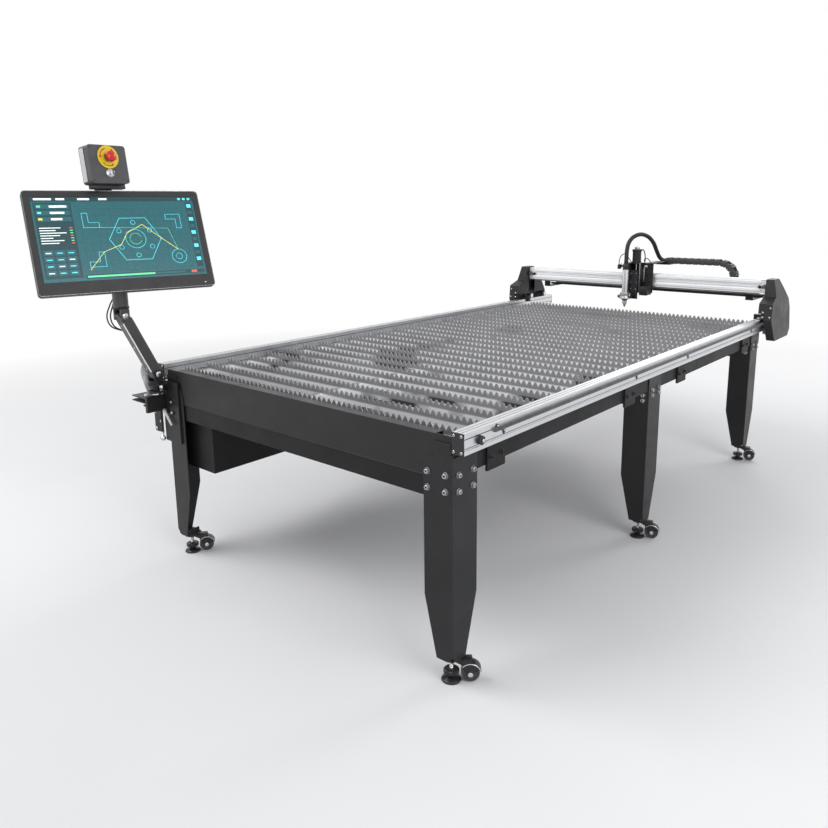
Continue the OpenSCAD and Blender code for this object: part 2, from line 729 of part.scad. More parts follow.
module truck_covers() color([0.17, 0.17, 0.18]) placed() sides() difference() {
    cover_solid(0);
    cover_solid(cover_t);
    // Open towards the beam and downwards, where the truck meets the rail
    intersection() {
        block([rail_out - 20, rest_y - 10, table_h], [plate_x, rest_y + 62, cross_top + 10]);
        cover_across(cover_t);
    }
    intersection() {
        block([rail_out - 16, truck_y0 - 30, rail_bot - 60],
              [plate_x + truck_t + 1, truck_y1 + 40, table_h + 34]);
        cover_across(cover_t);
    }
    block([rail_out - 16, pinion_y - 60, rack_z - 8], [rail_out + 14, pinion_y + 90, table_h + 34]);
}

module motor(w, l) {
    translate([-w / 2, -w / 2, 0]) cube([w, w, 6]);
    linear_extrude(l) polygon([
        for (q = [0:3]) for (s = [-1, 1]) let (a = w / 2, c = w / 2 - 5, m = q * 90)
            [a * cos(m) - s * c * sin(m), a * sin(m) + s * c * cos(m)]
    ]);
}

module y_motors() color(steel_dark) placed() sides() translate([pinion_x, pinion_y, motor_z]) {
    motor(motor_w, motor_l);
    rod_z([0, 0, rack_z - 2 - motor_z], 4, motor_z - rack_z + 3);
}

// Involute pinion with a tooth centred on the direction a0
function inv(a) = tan(a) * 180 / PI - a;
function tooth_half(r) = let (rb = pinion_r * cos(20))
    (gear_p / 2 - gear_play) / (2 * pinion_r) * 180 / PI + inv(20) - (r > rb ? inv(acos(rb / r)) : 0);

module pinion(a0) {
    rb = pinion_r * cos(20);
    steps = 4;
    rs = [pinion_r - ded, for (i = [0:steps]) rb + (pinion_r + add - rb) * i / steps];
    difference() {
        linear_extrude(rack_w - 1) polygon([
            for (k = [0:pinion_z - 1]) let (c = a0 + k * 360 / pinion_z) each concat(
                [for (i = [0:steps + 1]) rs[i] * [cos(c - tooth_half(rs[i])), sin(c - tooth_half(rs[i]))]],
                [for (i = [steps + 1:-1:0]) rs[i] * [cos(c + tooth_half(rs[i])), sin(c + tooth_half(rs[i]))]]
            )
        ]);
        rod_z([0, 0, -1], 4.05, rack_w + 1);
    }
}

module y_pinion(side) color(steel_bright) placed()
    translate([side * pinion_x, pinion_y, rack_z + 0.5]) pinion(side > 0 ? 180 : 0);

// Left and right roller on one axle line, from x0 to x1, with their axles in the truck plates
module roller_pair(y, z, x0, x1) color(steel_bright) placed() sides() translate([0, y, z]) {
    rod_x([x0, 0, 0], roller_r - gap, x1 - x0);
    rod_x([x0, 0, 0], roller_axle_r, plate_x + truck_t + 4 - x0);
}

module rollers_top(y) roller_pair(y, roller_zs[0], rail_mid - roller_w / 2, rail_mid + roller_w / 2);
module rollers_low(y) roller_pair(y, roller_zs[1], bracket_out + 3, rail_out - 2);

// ---- Drag chain ----
// One link from x = 0 to link_l, standing on z = 0
module chain_link() {
    for (y = [0, chain_w - chain_wall])
        block([1, y, 2], [link_l - 1, y + chain_wall, chain_h - 2]);
    for (x = [4, link_l - 16]) {
        block([x, 0, 0], [x + 12, chain_w, 2]);
        block([x, 0, chain_h - 2], [x + 12, chain_w, chain_h]);
    }
    for (x = [0, link_l - 1]) for (y = [0, chain_w - chain_wall])
        block([x, y + 1, chain_h / 2 - 8], [x + 1, y + chain_wall - 1, chain_h / 2 + 8]);
}

module chain_top_run() color(rubber) placed() for (i = [0:top_links - 1])
    translate([chain_end + i * link_l, chain_y, bend_z + bend_r - chain_h / 2]) chain_link();

module chain_lower_run() color(rubber) placed() for (i = [1:low_links])
    translate([chain_turn - i * link_l, chain_y, chain_low]) chain_link();

module chain_bend() color(rubber) placed() intersection() {
    reach = bend_r + chain_h;
    for (i = [0:bend_links - 1])
        translate([chain_turn, chain_y, bend_z]) rotate([0, -90 + (i + 0.5) * 180 / bend_links, 0])
            translate([bend_r * cos(90 / bend_links) - chain_h / 2, 0, -link_l / 2])
                rotate([0, -90, 0]) mirror([0, 0, 1]) chain_link();
    block([chain_turn + gap, chain_y - 1, bend_z - reach],
          [chain_turn + reach, chain_y + chain_w + 1, bend_z + reach]);
}

module chain_tray() color(steel_dark) placed() {
    x1 = rail_in - 40;
    z = chain_low - 3;
    block([-x1, chain_y - 4, z], [x1, chain_y + chain_w + 4, z + 2.5]);
    for (y = [chain_y - 4, chain_y + chain_w + 1]) block([-x1, y, z], [x1, y + 3, z + 12]);
    for (x = [-x1 + 20, -60, x1 - 60]) {
        block([x, rest_y + cross_d, z - 5], [x + 40, chain_y + chain_w, z]);
        block([x, rest_y + cross_d, z - 5], [x + 40, rest_y + cross_d + 4, cross_z + 40]);
    }
}

// ---- Carriage and torch ----
module carriage_plate() color(steel_dark) placed() {
    top = cross_top + 62;
    difference() {
        block([carriage_x0, carriage_y, lifter_z - 2], [carriage_x1, carriage_y + carriage_t, top]);
        rod_y([x_pinion_x, carriage_y - 1, x_pinion_z], 13, carriage_t + 2);
    }
    // Runner blocks on the guide rails
    for (z = guide_zs) for (x = [carriage_x0 + 6, carriage_x1 - 46]) difference() {
        block([x, carriage_y + carriage_t, z - 14], [x + 40, rest_y - gap, z + 14]);
        block([x - 1, rest_y - guide_d - gap, z - guide_h / 2 - gap],
              [x + 41, rest_y + 1, z + guide_h / 2 + gap]);
    }
    // Arm over the beam that pulls the drag chain
    block([chain_end - 50, carriage_y + carriage_t, top - 6], [carriage_x1, chain_y - gap, top]);
    chain_z = bend_z + bend_r - chain_h / 2;
    block([chain_end - 50, chain_y - gap, chain_z - 6], [chain_end + 30, chain_y + chain_w, chain_z - gap]);
    block([chain_end - 50, chain_y - 6, chain_z - 6], [carriage_x1, chain_y - gap, top]);
    // Bracket of the collision sensor
    block([torch_x - 70, carriage_y, top - 30], [carriage_x0, carriage_y + 3, top - 18]);
    block([torch_x - 78, carriage_y - 24, top - 40], [torch_x - 66, carriage_y + 3, top - 14]);
}

module carriage_motors() color(steel_dark) placed() {
    // Lifter motor with its bright end bell
    translate([screw_x, screw_y, lifter_z + lifter_h]) {
        motor(motor_w - 14, 76);
        rod_z([0, 0, 76], 16, 16);
    }
    // Cross-travel motor with its shaft through the plate
    translate([x_pinion_x, carriage_y, x_pinion_z]) rotate([90, 0, 0]) {
        motor(motor_w - 6, 54);
        rod_z([0, 0, -(x_rack_y + rack_w - carriage_y)], 4, x_rack_y + rack_w - carriage_y + 1);
    }
}

module x_pinion() color(steel_bright) placed()
    translate([x_pinion_x, x_rack_y + rack_w - 0.5, x_pinion_z]) rotate([90, 0, 0]) pinion(90);

module lifter_housing() color(steel_dark) placed() {
    z1 = lifter_z + lifter_h;
    difference() {
        block([lifter_x0, lifter_y, lifter_z], [lifter_x1, carriage_y, z1]);
        block([lifter_x0 + lifter_t, lifter_y - 1, lifter_z + 6],
              [lifter_x1 - lifter_t, carriage_y - lifter_t, z1 - 6]);
        rod_z([screw_x, screw_y, lifter_z + 2], screw_r + 0.1, lifter_h);
    }
}

module lead_screw() color(steel_bright) placed()
    rod_z([screw_x, screw_y, lifter_z + 2 + gap], screw_r, lifter_h - 2 - 2 * gap);

module torch_holder() color(steel_dark) placed() {
    nut_z = lifter_z + 35;
    difference() {
        union() {
            block([lifter_x0 + 6, lifter_y - slider_t - gap, collar_z],
                  [lifter_x1 - 6, lifter_y - gap, collar_z + 165]);
            block([screw_x - 14, lifter_y - 1, nut_z], [screw_x + 14, screw_y + 14, nut_z + 30]);
            // Collar round the torch with an arm to the slider
            rod_z([torch_x, torch_y, collar_z], collar_r, collar_h);
            block([torch_x, torch_y + 10, collar_z], [lifter_x0 + 20, lifter_y - gap, collar_z + collar_h]);
        }
        rod_z([torch_x, torch_y, collar_z - 1], torch_r + 0.05, collar_h + 2);
        rod_z([screw_x, screw_y, nut_z - 1], screw_r + 0.05, 32);
    }
    // Clamp knobs left and right
    for (s = [[-1, 9], [1, 13]]) rod_x([torch_x + (s[0] < 0 ? -collar_r - 14 : collar_r - 1), torch_y,
        collar_z + (s[0] < 0 ? 12 : 20)], s[1], 15);
}

module torch() color(alloy) placed() translate([torch_x, torch_y, 0]) rotate_extrude() polygon([
    [0, collar_z - 49], [3, collar_z - 49], [9, collar_z - 34], [13, collar_z - 26], [13, collar_z - 10],
    [torch_r - 2, collar_z - 8], [torch_r - 2, collar_z - 5], [torch_r, collar_z - 4],
    [torch_r, torch_top - 2], [torch_r - 2, torch_top], [lead_r + 2, torch_top],
    [lead_r + 2, torch_top + 14], [0, torch_top + 14]
]);

// Route of the torch lead from the torch's tail to the chain's moving end
lead_path = [
    [torch_x, torch_y, torch_top + 14 + gap], [torch_x, torch_y, torch_top + 40],
    [torch_x + 1, torch_y + 1, torch_top + 80], [torch_x + 6, torch_y + 10, torch_top + 120],
    [torch_x + 20, torch_y + 38, torch_top + 152], [torch_x + 42, torch_y + 88, torch_top + 166],
    [torch_x + 62, torch_y + 146, torch_top + 150], [torch_x + 72, torch_y + 200, torch_top + 112],
    [torch_x + 72, torch_y + 248, torch_top + 66], [torch_x + 78, torch_y + 282, torch_top + 26],
    [torch_x + 96, torch_y + 295, torch_top + 8], [torch_x + 120, torch_y + 295, torch_top + 6]
];
lead_ribs = 3;             // ribs for each stretch of the route
lead_sides = 8;

function unit(v) = v / norm(v);
// Point on the Catmull-Rom curve through the route at parameter t
function on_route(p, t) = let (
    i = min(floor(t), len(p) - 2), f = t - i, last = len(p) - 1,
    a = p[max(i - 1, 0)], b = p[i], c = p[i + 1], d = p[min(i + 2, last)]
) 0.5 * (2 * b + (c - a) * f + (2 * a - 5 * b + 4 * c - d) * f * f + (3 * b - a - 3 * c + d) * f * f * f);
// Cross section of the tube at parameter t, kept square to the route
function ring(p, t, r) = let (
    h = 0.02, n = len(p) - 1,
    w = unit(on_route(p, min(t + h, n)) - on_route(p, max(t - h, 0))),
    u = unit(cross([1, 0.2, 0], w)), v = cross(w, u), c = on_route(p, t)
) [for (k = [0:lead_sides - 1]) c + r * (cos(k * 360 / lead_sides) * u + sin(k * 360 / lead_sides) * v)];

// Closed tube: outer rings out and inner rings back, joined at both ends
module tube_mesh(rings) {
    n = len(rings);
    s = lead_sides;
    polyhedron(
        points = [for (q = rings) each q],
        faces = [for (i = [0:n - 1]) for (k = [0:s - 1]) let (
            a = i * s + k, b = i * s + (k + 1) % s,
            c = ((i + 1) % n) * s + (k + 1) % s, d = ((i + 1) % n) * s + k
        ) each [[a, c, b], [a, d, c]]]
    );
}

module torch_lead() color(rubber) placed() {
    n = len(lead_path) - 1;
    count = n * lead_ribs;
    outer = concat(
        [ring(lead_path, 0, lead_r - 1.5)],
        [for (i = [1:count - 1]) for (e = [-0.16, 0.16])
            ring(lead_path, (i + e) / lead_ribs, e < 0 ? lead_r - 1.5 : lead_r)],
        [ring(lead_path, n, lead_r - 1.5)]
    );
    inner = [for (i = [n:-1:0]) ring(lead_path, i, lead_r - 4)];
    tube_mesh(concat(outer, inner));
}

// ---- Operator station ----
module arm_bracket() color(steel_dark) placed() {
    x0 = bracket_x0;
    y1 = leg_y0;
    bolt_x = x0 + bracket_l - 42;
    bolt_zs = [table_h - 185, table_h - 142];
    low = hang_z[1];
    // Plate bolted to the front of the leg
    difference() {
        block([x0, y1 - 8, hang_z[0]], [x0 + bracket_l, y1, rail_bot - 2]);
        for (z = bolt_zs) rod_y([bolt_x, y1 - 9, z], 5.5, 10);
    }
    for (z = bolt_zs) translate([bolt_x, y1 - 8, z]) rotate([90, 0, 0]) hex_head();
    // Two round-nosed bearing plates
    for (z = bearing_zs) difference() {
        union() {
            rod_z([arm_x, arm_y, z], 29, bearing_t);
            block([arm_x - 29, arm_y, z], [arm_x + 29, y1 - 7, z + bearing_t]);
        }
        rod_z([arm_x, arm_y, z - 1], 12.05, bearing_t + 2);
    }
    // Arm and pivot of the keyboard tray, hanging plate and clamp knob on the left
    block([x0 - 14, tray_pin[1] - 14, low], [x0 + 1, y1, tray_zs[1] + 14]);
    for (z = [tray_zs[0] - 10, tray_zs[1] + 8])
        block([tray_pin[0] - 10, tray_pin[1] - 10, z], [x0 - 13, tray_pin[1] + 10, z + 6]);
    rod_z([tray_pin[0], tray_pin[1], tray_zs[0] - 10], tray_pin_r, tray_zs[1] - tray_zs[0] + 24);
    block([x0 - 72, y1 - 10, low - 96], [x0 - 14, y1 - 7, low]);
    block([x0 - 72, y1 - 10, low - 6], [x0 + 1, y1 - 2, low]);
    rod_z([x0 - 14, y1 - 14, low - 112], 4, 113);
    translate([x0 - 14, y1 - 14, low - 116]) sphere(r = 12);
}

module arm_base() color(steel_dark) placed() {
    top = bearing_top + 9;
    difference() {
        union() {
            rod_z([arm_x, arm_y, bearing_top + gap], 26, 9);
            for (x = [-26, 20]) block([arm_x + x, arm_y - 16, top], [arm_x + x + 6, arm_y + 16, arm_z + 14]);
        }
        rod_x([arm_x - 30, arm_y, arm_z], 6.05, 60);
    }
    rod_z([arm_x, arm_y, bearing_zs[0] - 3], 12, bearing_top - bearing_zs[0] + 4);
}

arm_len = norm([arm_reach, arm_rise]);
arm_lean = atan2(arm_reach, arm_rise);

module arm_link() color(steel_dark) placed() translate([arm_x, arm_y, arm_z]) rotate([arm_lean, 0, 0]) {
    difference() {
        union() {
            block([-19.5, -19, -12], [19.5, 19, arm_len + 12]);
            block([-17, 19, 20], [17, 23, arm_len - 20]);
        }
        block([-15.5, -15, 18], [15.5, 15, arm_len - 18]);
        for (z = [0, arm_len]) rod_x([-30, 0, z], 6.05, 60);
    }
    rod_x([-27, 0, 0], 6, 54);
}

module arm_post() color(steel_dark) placed() {
    difference() {
        union() {
            rod_z([arm_x, elbow_y, elbow_z + 26], post_r, post_top - elbow_z - 26);
            for (x = [-27, 20])
                block([arm_x + x, elbow_y - 17, elbow_z - 16], [arm_x + x + 7, elbow_y + 17, elbow_z + 26]);
        }
        rod_z([arm_x, elbow_y, elbow_z + 40], post_r - 4, post_top);
    }
    rod_x([arm_x - 27, elbow_y, elbow_z], 6, 54);
}

// Frame of the monitor: X to its right, Y up its face, Z out of its face
module on_screen() translate(screen_c) multmatrix([
    for (k = [0:2]) [screen_r[k], screen_u[k], turn_n(screen_yaw, screen_tilt)[k], 0]
]) children();

tilt_p = screen_c - tilt_back * turn_n(screen_yaw, screen_tilt);
tilt_pin_r = 6;

module monitor_mount() color(steel_dark) placed() {
    // Collar that turns on the post, with a spigot inside it
    rod_z([arm_x, elbow_y, post_top + gap], post_r + 3, 40);
    rod_z([arm_x, elbow_y, post_top - 60], post_r - 4.1, 61);
    out = norm([tilt_p[0] - arm_x, tilt_p[1] - elbow_y]);
    difference() {
        union() {
            translate([arm_x, elbow_y, 0]) rotate([0, 0, atan2(tilt_p[1] - elbow_y, tilt_p[0] - arm_x)])
                block([0, -10, tilt_p[2] - 10], [out, 10, tilt_p[2] + 10]);
            translate(tilt_p) rotate([0, 0, screen_yaw]) rod_x([-11, 0, 0], 12, 22);
        }
        translate(tilt_p) rotate([0, 0, screen_yaw]) rod_x([-30, 0, 0], tilt_pin_r + 0.05, 60);
    }
}

module rounded_plate(w, h, r, d) linear_extrude(d) polygon([
    for (q = [0:3]) for (a = [0:22.5:90]) let (m = q * 90 + a,
        cx = (q == 0 || q == 3 ? 1 : -1) * (w / 2 - r), cy = (q < 2 ? 1 : -1) * (h / 2 - r))
        [cx + r * cos(m), cy + r * sin(m)]
]);

module monitor_shell() color(rubber) placed() {
    on_screen() difference() {
        union() {
            translate([0, 0, -bezel_d]) rounded_plate(screen_w, screen_h, corner_r, bezel_d);
            translate([0, -10, -bezel_d - back_d]) rounded_plate(360, 230, 20, back_d);
        }
        translate([-screen_w / 2 + 22, -screen_h / 2 + 44, -3]) cube([screen_w - 44, screen_h - 66, 4]);
    }
    // Ears and pin of the tilt hinge
    on_screen() {
        for (x = [-20, 12.5]) block([x, -12, -tilt_back - 10], [x + 7.5, 12, -bezel_d - back_d]);
        rod_x([-22, 0, -tilt_back], tilt_pin_r, 44);
    }
    // Bent strap that carries the stop box above the screen
    on_screen() block([-47, 80, -bezel_d - 6], [13, 170, -bezel_d]);
    on_stop() block([-30, -112, -stop_d - 10], [30, stop_h / 2 - 20, -stop_d]);
}

module monitor_screen() color([0.10, 0.30, 0.36]) placed() on_screen()
    translate([-screen_w / 2 + 22 + gap, -screen_h / 2 + 44 + gap, -3])
        cube([screen_w - 44 - 2 * gap, screen_h - 66 - 2 * gap, 2]);

module on_stop() translate(stop_c) multmatrix([
    for (k = [0:2]) [turn_r(stop_yaw)[k], turn_u(stop_yaw, stop_tilt)[k], turn_n(stop_yaw, stop_tilt)[k], 0]
]) children();

button_y = 24;
key_y = -30;

module stop_box() color([0.2, 0.2, 0.21]) placed() on_stop() difference() {
    union() {
        translate([0, 0, -stop_d]) rounded_plate(stop_w, stop_h, 10, stop_d);
        translate([0, button_y, 0]) cylinder(r = 39, h = 2);
        translate([0, button_y, 2]) cylinder(r = 14, h = 8);
    }
    translate([-stop_w / 2 - 1, -stop_h / 2 - 1, -stop_d * 0.45]) cube([2, stop_h + 2, 1.5]);
    translate([0, button_y, -20]) cylinder(r = 6.05, h = 40);
    translate([0, key_y, -20]) cylinder(r = 9.05, h = 30);
}

module stop_button() color([0.75, 0.06, 0.05]) placed() on_stop() translate([0, button_y, 0]) {
    translate([0, 0, -6]) cylinder(r = 6, h = 22);
    translate([0, 0, 14.5]) rotate_extrude() polygon([
        [0, 0], [17, 0], [18.5, 4], [18.5, 7], [16, 10], [10, 12.5], [0, 13.5]
    ]);
}

module key_switch() color(steel_bright) placed() on_stop() translate([0, key_y, 0]) {
    translate([0, 0, -14]) cylinder(r = 9, h = 20);
    translate([0, 0, gap]) cylinder(r = 12, h = 4);
    translate([-1, -7, 6]) cube([2, 14, 18]);
}

module keyboard_tray() color(steel_dark) placed() difference() {
    x1 = tray_pin[0] + 7;
    y0 = tray_pin[1] - 7;
    z0 = tray_zs[0];
    rise = tray_zs[1] - z0;
    union() {
        for (z = tray_zs) block([tray_x0, y0, z], [x1, y0 + tray_w, z + 4]);
        rod_z([tray_pin[0], tray_pin[1], z0 + 2], 7, rise);
        block([x1 - 16, y0 + tray_w - 16, z0 + 2], [x1, y0 + tray_w, z0 + 2 + rise]);
    }
    rod_z([tray_pin[0], tray_pin[1], z0 - 10], tray_pin_r + 0.05, rise + 24);
}

front_panel();
base_frame();
legs();
rails();
racks();
end_caps();
frame_bolts();
slat_bed();
slag_tray();
cabinet_body();
cabinet_electronics();
cabinet_door();
door_latch();
arm_bracket();
castor_fork(0);  // castor_fork_1
castor_fork(1);  // castor_fork_2
castor_fork(2);  // castor_fork_3
castor_fork(3);  // castor_fork_4
castor_fork(4);  // castor_fork_5
castor_fork(5);  // castor_fork_6
castor_wheel(0);  // castor_wheel_1
castor_wheel(1);  // castor_wheel_2
castor_wheel(2);  // castor_wheel_3
castor_wheel(3);  // castor_wheel_4
castor_wheel(4);  // castor_wheel_5
castor_wheel(5);  // castor_wheel_6
levelling_feet();
gantry_beam();
x_rack();
truck_plates();
truck_covers();
y_motors();
y_pinion(-1);  // y_pinion_left
y_pinion(1);  // y_pinion_right
rollers_top(roller_ys[0]);  // rollers_top_front
rollers_top(roller_ys[1]);  // rollers_top_rear
rollers_low(roller_ys[0]);  // rollers_low_front
rollers_low(roller_ys[1]);  // rollers_low_rear
chain_tray();
chain_lower_run();
chain_bend();
chain_top_run();
carriage_plate();
carriage_motors();
lifter_housing();
x_pinion();
lead_screw();
torch_holder();
torch();
torch_lead();
arm_base();
arm_link();
arm_post();
monitor_mount();
monitor_shell();
monitor_screen();
stop_box();
stop_button();
key_switch();
keyboard_tray();
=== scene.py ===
"""Looks of the CNC plasma cutting table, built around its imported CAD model.

Lengths given to P() and to the builders below are millimetres in the table's own axes:
X across the table from its centre plane, Y from the near rail ends, Z up from the floor.
"""

import json
import math

import bmesh
import bpy
from mathutils import Matrix, Vector


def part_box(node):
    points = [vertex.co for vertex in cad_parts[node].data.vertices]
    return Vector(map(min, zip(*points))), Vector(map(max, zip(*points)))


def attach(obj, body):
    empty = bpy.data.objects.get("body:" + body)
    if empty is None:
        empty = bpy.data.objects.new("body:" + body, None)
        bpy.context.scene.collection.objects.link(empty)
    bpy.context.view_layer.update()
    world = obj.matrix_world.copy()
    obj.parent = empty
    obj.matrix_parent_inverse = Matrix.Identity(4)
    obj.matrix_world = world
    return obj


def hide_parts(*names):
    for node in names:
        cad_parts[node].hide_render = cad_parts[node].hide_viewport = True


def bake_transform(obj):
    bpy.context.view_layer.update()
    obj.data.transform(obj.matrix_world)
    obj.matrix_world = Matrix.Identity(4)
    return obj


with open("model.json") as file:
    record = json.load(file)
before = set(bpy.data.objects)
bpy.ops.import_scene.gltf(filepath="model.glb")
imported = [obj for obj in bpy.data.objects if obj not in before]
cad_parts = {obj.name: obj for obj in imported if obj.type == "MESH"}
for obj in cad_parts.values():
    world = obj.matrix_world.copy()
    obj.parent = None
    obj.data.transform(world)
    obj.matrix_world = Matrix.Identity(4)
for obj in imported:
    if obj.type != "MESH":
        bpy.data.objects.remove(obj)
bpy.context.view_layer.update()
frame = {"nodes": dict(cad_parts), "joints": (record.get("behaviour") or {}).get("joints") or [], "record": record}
nodes = frame["nodes"]

MM = 0.001
rail_lo, rail_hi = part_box("rails")
ORIGIN = Vector(((rail_lo.x + rail_hi.x) / 2, rail_lo.y, 0.0))


def P(x, y, z):
    """A point of the table's own axes (mm) in the row frame (m)."""
    return ORIGIN + Vector((x, y, z)) * MM


# ---- Camera, at the photograph's viewing angle ----
CAM_AT = P(1904.1, -1517.3, 1372.5)
CAM_YAW, CAM_PITCH, CAM_ROLL = 0.6998, 0.2025, -0.0081
FRAME_PX = 828
FOCAL_PX, CENTRE_PX = 750.5, (428, 360)


def make_camera():
    ahead = Vector((-math.sin(CAM_YAW) * math.cos(CAM_PITCH), math.cos(CAM_YAW) * math.cos(CAM_PITCH),
                    -math.sin(CAM_PITCH)))
    level = ahead.cross(Vector((0, 0, 1))).normalized()
    rise = level.cross(ahead)
    right = level * math.cos(CAM_ROLL) + rise * math.sin(CAM_ROLL)
    up = rise * math.cos(CAM_ROLL) - level * math.sin(CAM_ROLL)
    data = bpy.data.cameras.new("camera")
    data.sensor_width = 36
    data.lens = data.sensor_width * FOCAL_PX / FRAME_PX
    data.shift_x = 0.5 - CENTRE_PX[0] / FRAME_PX
    data.shift_y = CENTRE_PX[1] / FRAME_PX - 0.5
    data.clip_end = 100
    camera = bpy.data.objects.new("camera", data)
    bpy.context.scene.collection.objects.link(camera)
    turn = Matrix((right, up, -ahead)).transposed().to_4x4()
    camera.matrix_world = Matrix.Translation(CAM_AT) @ turn
    bpy.context.scene.camera = camera


make_camera()


# ---- Materials ----
class Nodes:
    """A material's node tree, with short calls for the nodes that repeat."""

    def __init__(self, name):
        self.mat = bpy.data.materials.new(name)
        self.mat.use_nodes = True
        self.tree = self.mat.node_tree
        self.shader = self.tree.nodes["Principled BSDF"]
        self.coord = self.add("ShaderNodeTexCoord").outputs["Object"]

    def add(self, kind, **settings):
        n = self.tree.nodes.new(kind)
        for k, v in settings.items():
            setattr(n, k, v)
        return n

    def link(self, a, b):
        self.tree.links.new(a, b)

    def stretched(self, scale):
        m = self.add("ShaderNodeMapping")
        m.inputs["Scale"].default_value = scale
        self.link(self.coord, m.inputs["Vector"])
        return m.outputs["Vector"]

    def noise(self, scale, detail=4.0, rough=0.55, vector=None):
        n = self.add("ShaderNodeTexNoise")
        n.inputs["Scale"].default_value = scale
        n.inputs["Detail"].default_value = detail
        n.inputs["Roughness"].default_value = rough
        self.link(vector or self.coord, n.inputs["Vector"])
        return n.outputs["Fac"]

    def spread(self, value, low, high, source=(0.3, 0.7)):
        m = self.add("ShaderNodeMapRange")
        self.link(value, m.inputs["Value"])
        for i, v in enumerate((*source, low, high)):
            m.inputs[1 + i].default_value = v
        return m.outputs["Result"]

    def mix(self, fac, a, b):
        m = self.add("ShaderNodeMix", data_type="RGBA")
        self.link(fac, m.inputs["Factor"])
        for socket, v in ((m.inputs[6], a), (m.inputs[7], b)):
            if isinstance(v, tuple):
                socket.default_value = (*v, 1)
            else:
                self.link(v, socket)
        return m.outputs[2]

    def edge(self, radius):
        """1 on rounded-off edges and 0 on faces, with the rounded normal."""
        bevel = self.add("ShaderNodeBevel", samples=4)
        bevel.inputs["Radius"].default_value = radius
        geometry = self.add("ShaderNodeNewGeometry")
        dot = self.add("ShaderNodeVectorMath", operation="DOT_PRODUCT")
        self.link(bevel.outputs["Normal"], dot.inputs[0])
        self.link(geometry.outputs["Normal"], dot.inputs[1])
        return self.spread(dot.outputs["Value"], 1, 0, (0.75, 0.985)), bevel.outputs["Normal"]

    def bump(self, height, strength, distance, normal=None):
        b = self.add("ShaderNodeBump")
        b.inputs["Strength"].default_value = strength
        b.inputs["Distance"].default_value = distance
        self.link(height, b.inputs["Height"])
        if normal is not None:
            self.link(normal, b.inputs["Normal"])
        self.link(b.outputs["Normal"], self.shader.inputs["Normal"])


def painted(name, colour, edge_scuff_and_highlight, rough=(0.34, 0.46), peel=0.25, grain=900, edge_r=0.0018, shine=0.3):
    """Powder coat: orange-peel bump, slightly uneven gloss, a paler line along edges that is partly scuffed paint and
    partly a painted highlight.
    """
    m = Nodes(name)
    m.shader.inputs["Specular IOR Level"].default_value = shine
    edge, rounded = m.edge(edge_r)
    patch = m.spread(m.noise(5, 6), 0, 1)
    pale = tuple(1.264 * c + 0.004 for c in colour)
    base = m.mix(patch, colour, pale)
    # Paler line along the edges: partly scuffed paint, partly a painted highlight.
    edge_scuff_and_highlight_mask = m.add("ShaderNodeMath", operation="MULTIPLY")
    m.link(edge, edge_scuff_and_highlight_mask.inputs[0])
    m.link(m.spread(m.noise(60, 5), 0.15, 0.8), edge_scuff_and_highlight_mask.inputs[1])
    m.link(m.mix(edge_scuff_and_highlight_mask.outputs[0], base, edge_scuff_and_highlight), m.shader.inputs["Base Color"])
    m.link(m.spread(m.noise(14, 5), *rough), m.shader.inputs["Roughness"])
    m.bump(m.noise(grain, 2), peel, 0.0004, rounded)
    return m.mat


def metal(name, colour, tint, rough, streak, grain=0.15, edge_r=0.0008, metallic=1.0, mottle=9.0, painted_light_band=None):
    """Bare metal with fine lines along one axis: streak is the noise scale on X, Y and Z.

    painted_light_band is (height in m, painted_light, dark_patch): under that height the colour is painted light, a
    bright band for the light seen through the notches of the slat in front, broken by dark patches.
    """
    m = Nodes(name)
    m.shader.inputs["Metallic"].default_value = metallic
    _, rounded = m.edge(edge_r)
    lines = m.noise(1.0, 3, 0.6, m.stretched(streak))
    patch = m.spread(m.noise(mottle, 6, 0.6), 0, 1)
    lined = m.mix(m.spread(lines, 0, 1), colour, tuple(0.86 * c for c in colour))
    surface = m.mix(patch, lined, tint)
    # Painted light: under the height a bright band, broken by dark patches.
    if painted_light_band:
        height, painted_light, dark_patch = painted_light_band
        parts = m.add("ShaderNodeSeparateXYZ")
        m.link(m.coord, parts.inputs[0])
        low = m.spread(parts.outputs["Z"], 1, 0, (height - 0.002, height + 0.003))
        surface = m.mix(low, surface, m.mix(m.spread(m.noise(2.6, 3), 0, 1, (0.56, 0.62)), painted_light, dark_patch))
    m.link(surface, m.shader.inputs["Base Color"])
    m.link(m.spread(lines, *rough), m.shader.inputs["Roughness"])
    m.bump(lines, grain, 0.0002, rounded)
    return m.mat


def plastic(name, colour, rough=(0.42, 0.55), grain=1400, bump=0.2, edge_r=0.0012, pale=1.35):
    """Moulded plastic or rubber with a fine spark texture."""
    m = Nodes(name)
    _, rounded = m.edge(edge_r)
    m.link(m.mix(m.spread(m.noise(22, 5), 0, 1), colour, tuple(min(1, c * pale + 0.003) for c in colour)),
           m.shader.inputs["Base Color"])
    m.link(m.spread(m.noise(35, 4), *rough), m.shader.inputs["Roughness"])
    m.bump(m.noise(grain, 3), bump, 0.0003, rounded)
    return m.mat


def glowing(name, colour):
    m = Nodes(name)
    m.shader.inputs["Emission Strength"].default_value = 1
    m.shader.inputs["Roughness"].default_value = 0.25
    dark = tuple(0.82 * c for c in colour)
    colours = m.mix(m.spread(m.noise(120, 2), 0, 1), dark, colour)
    m.link(colours, m.shader.inputs["Base Color"])
    m.link(colours, m.shader.inputs["Emission Color"])
    return m.mat


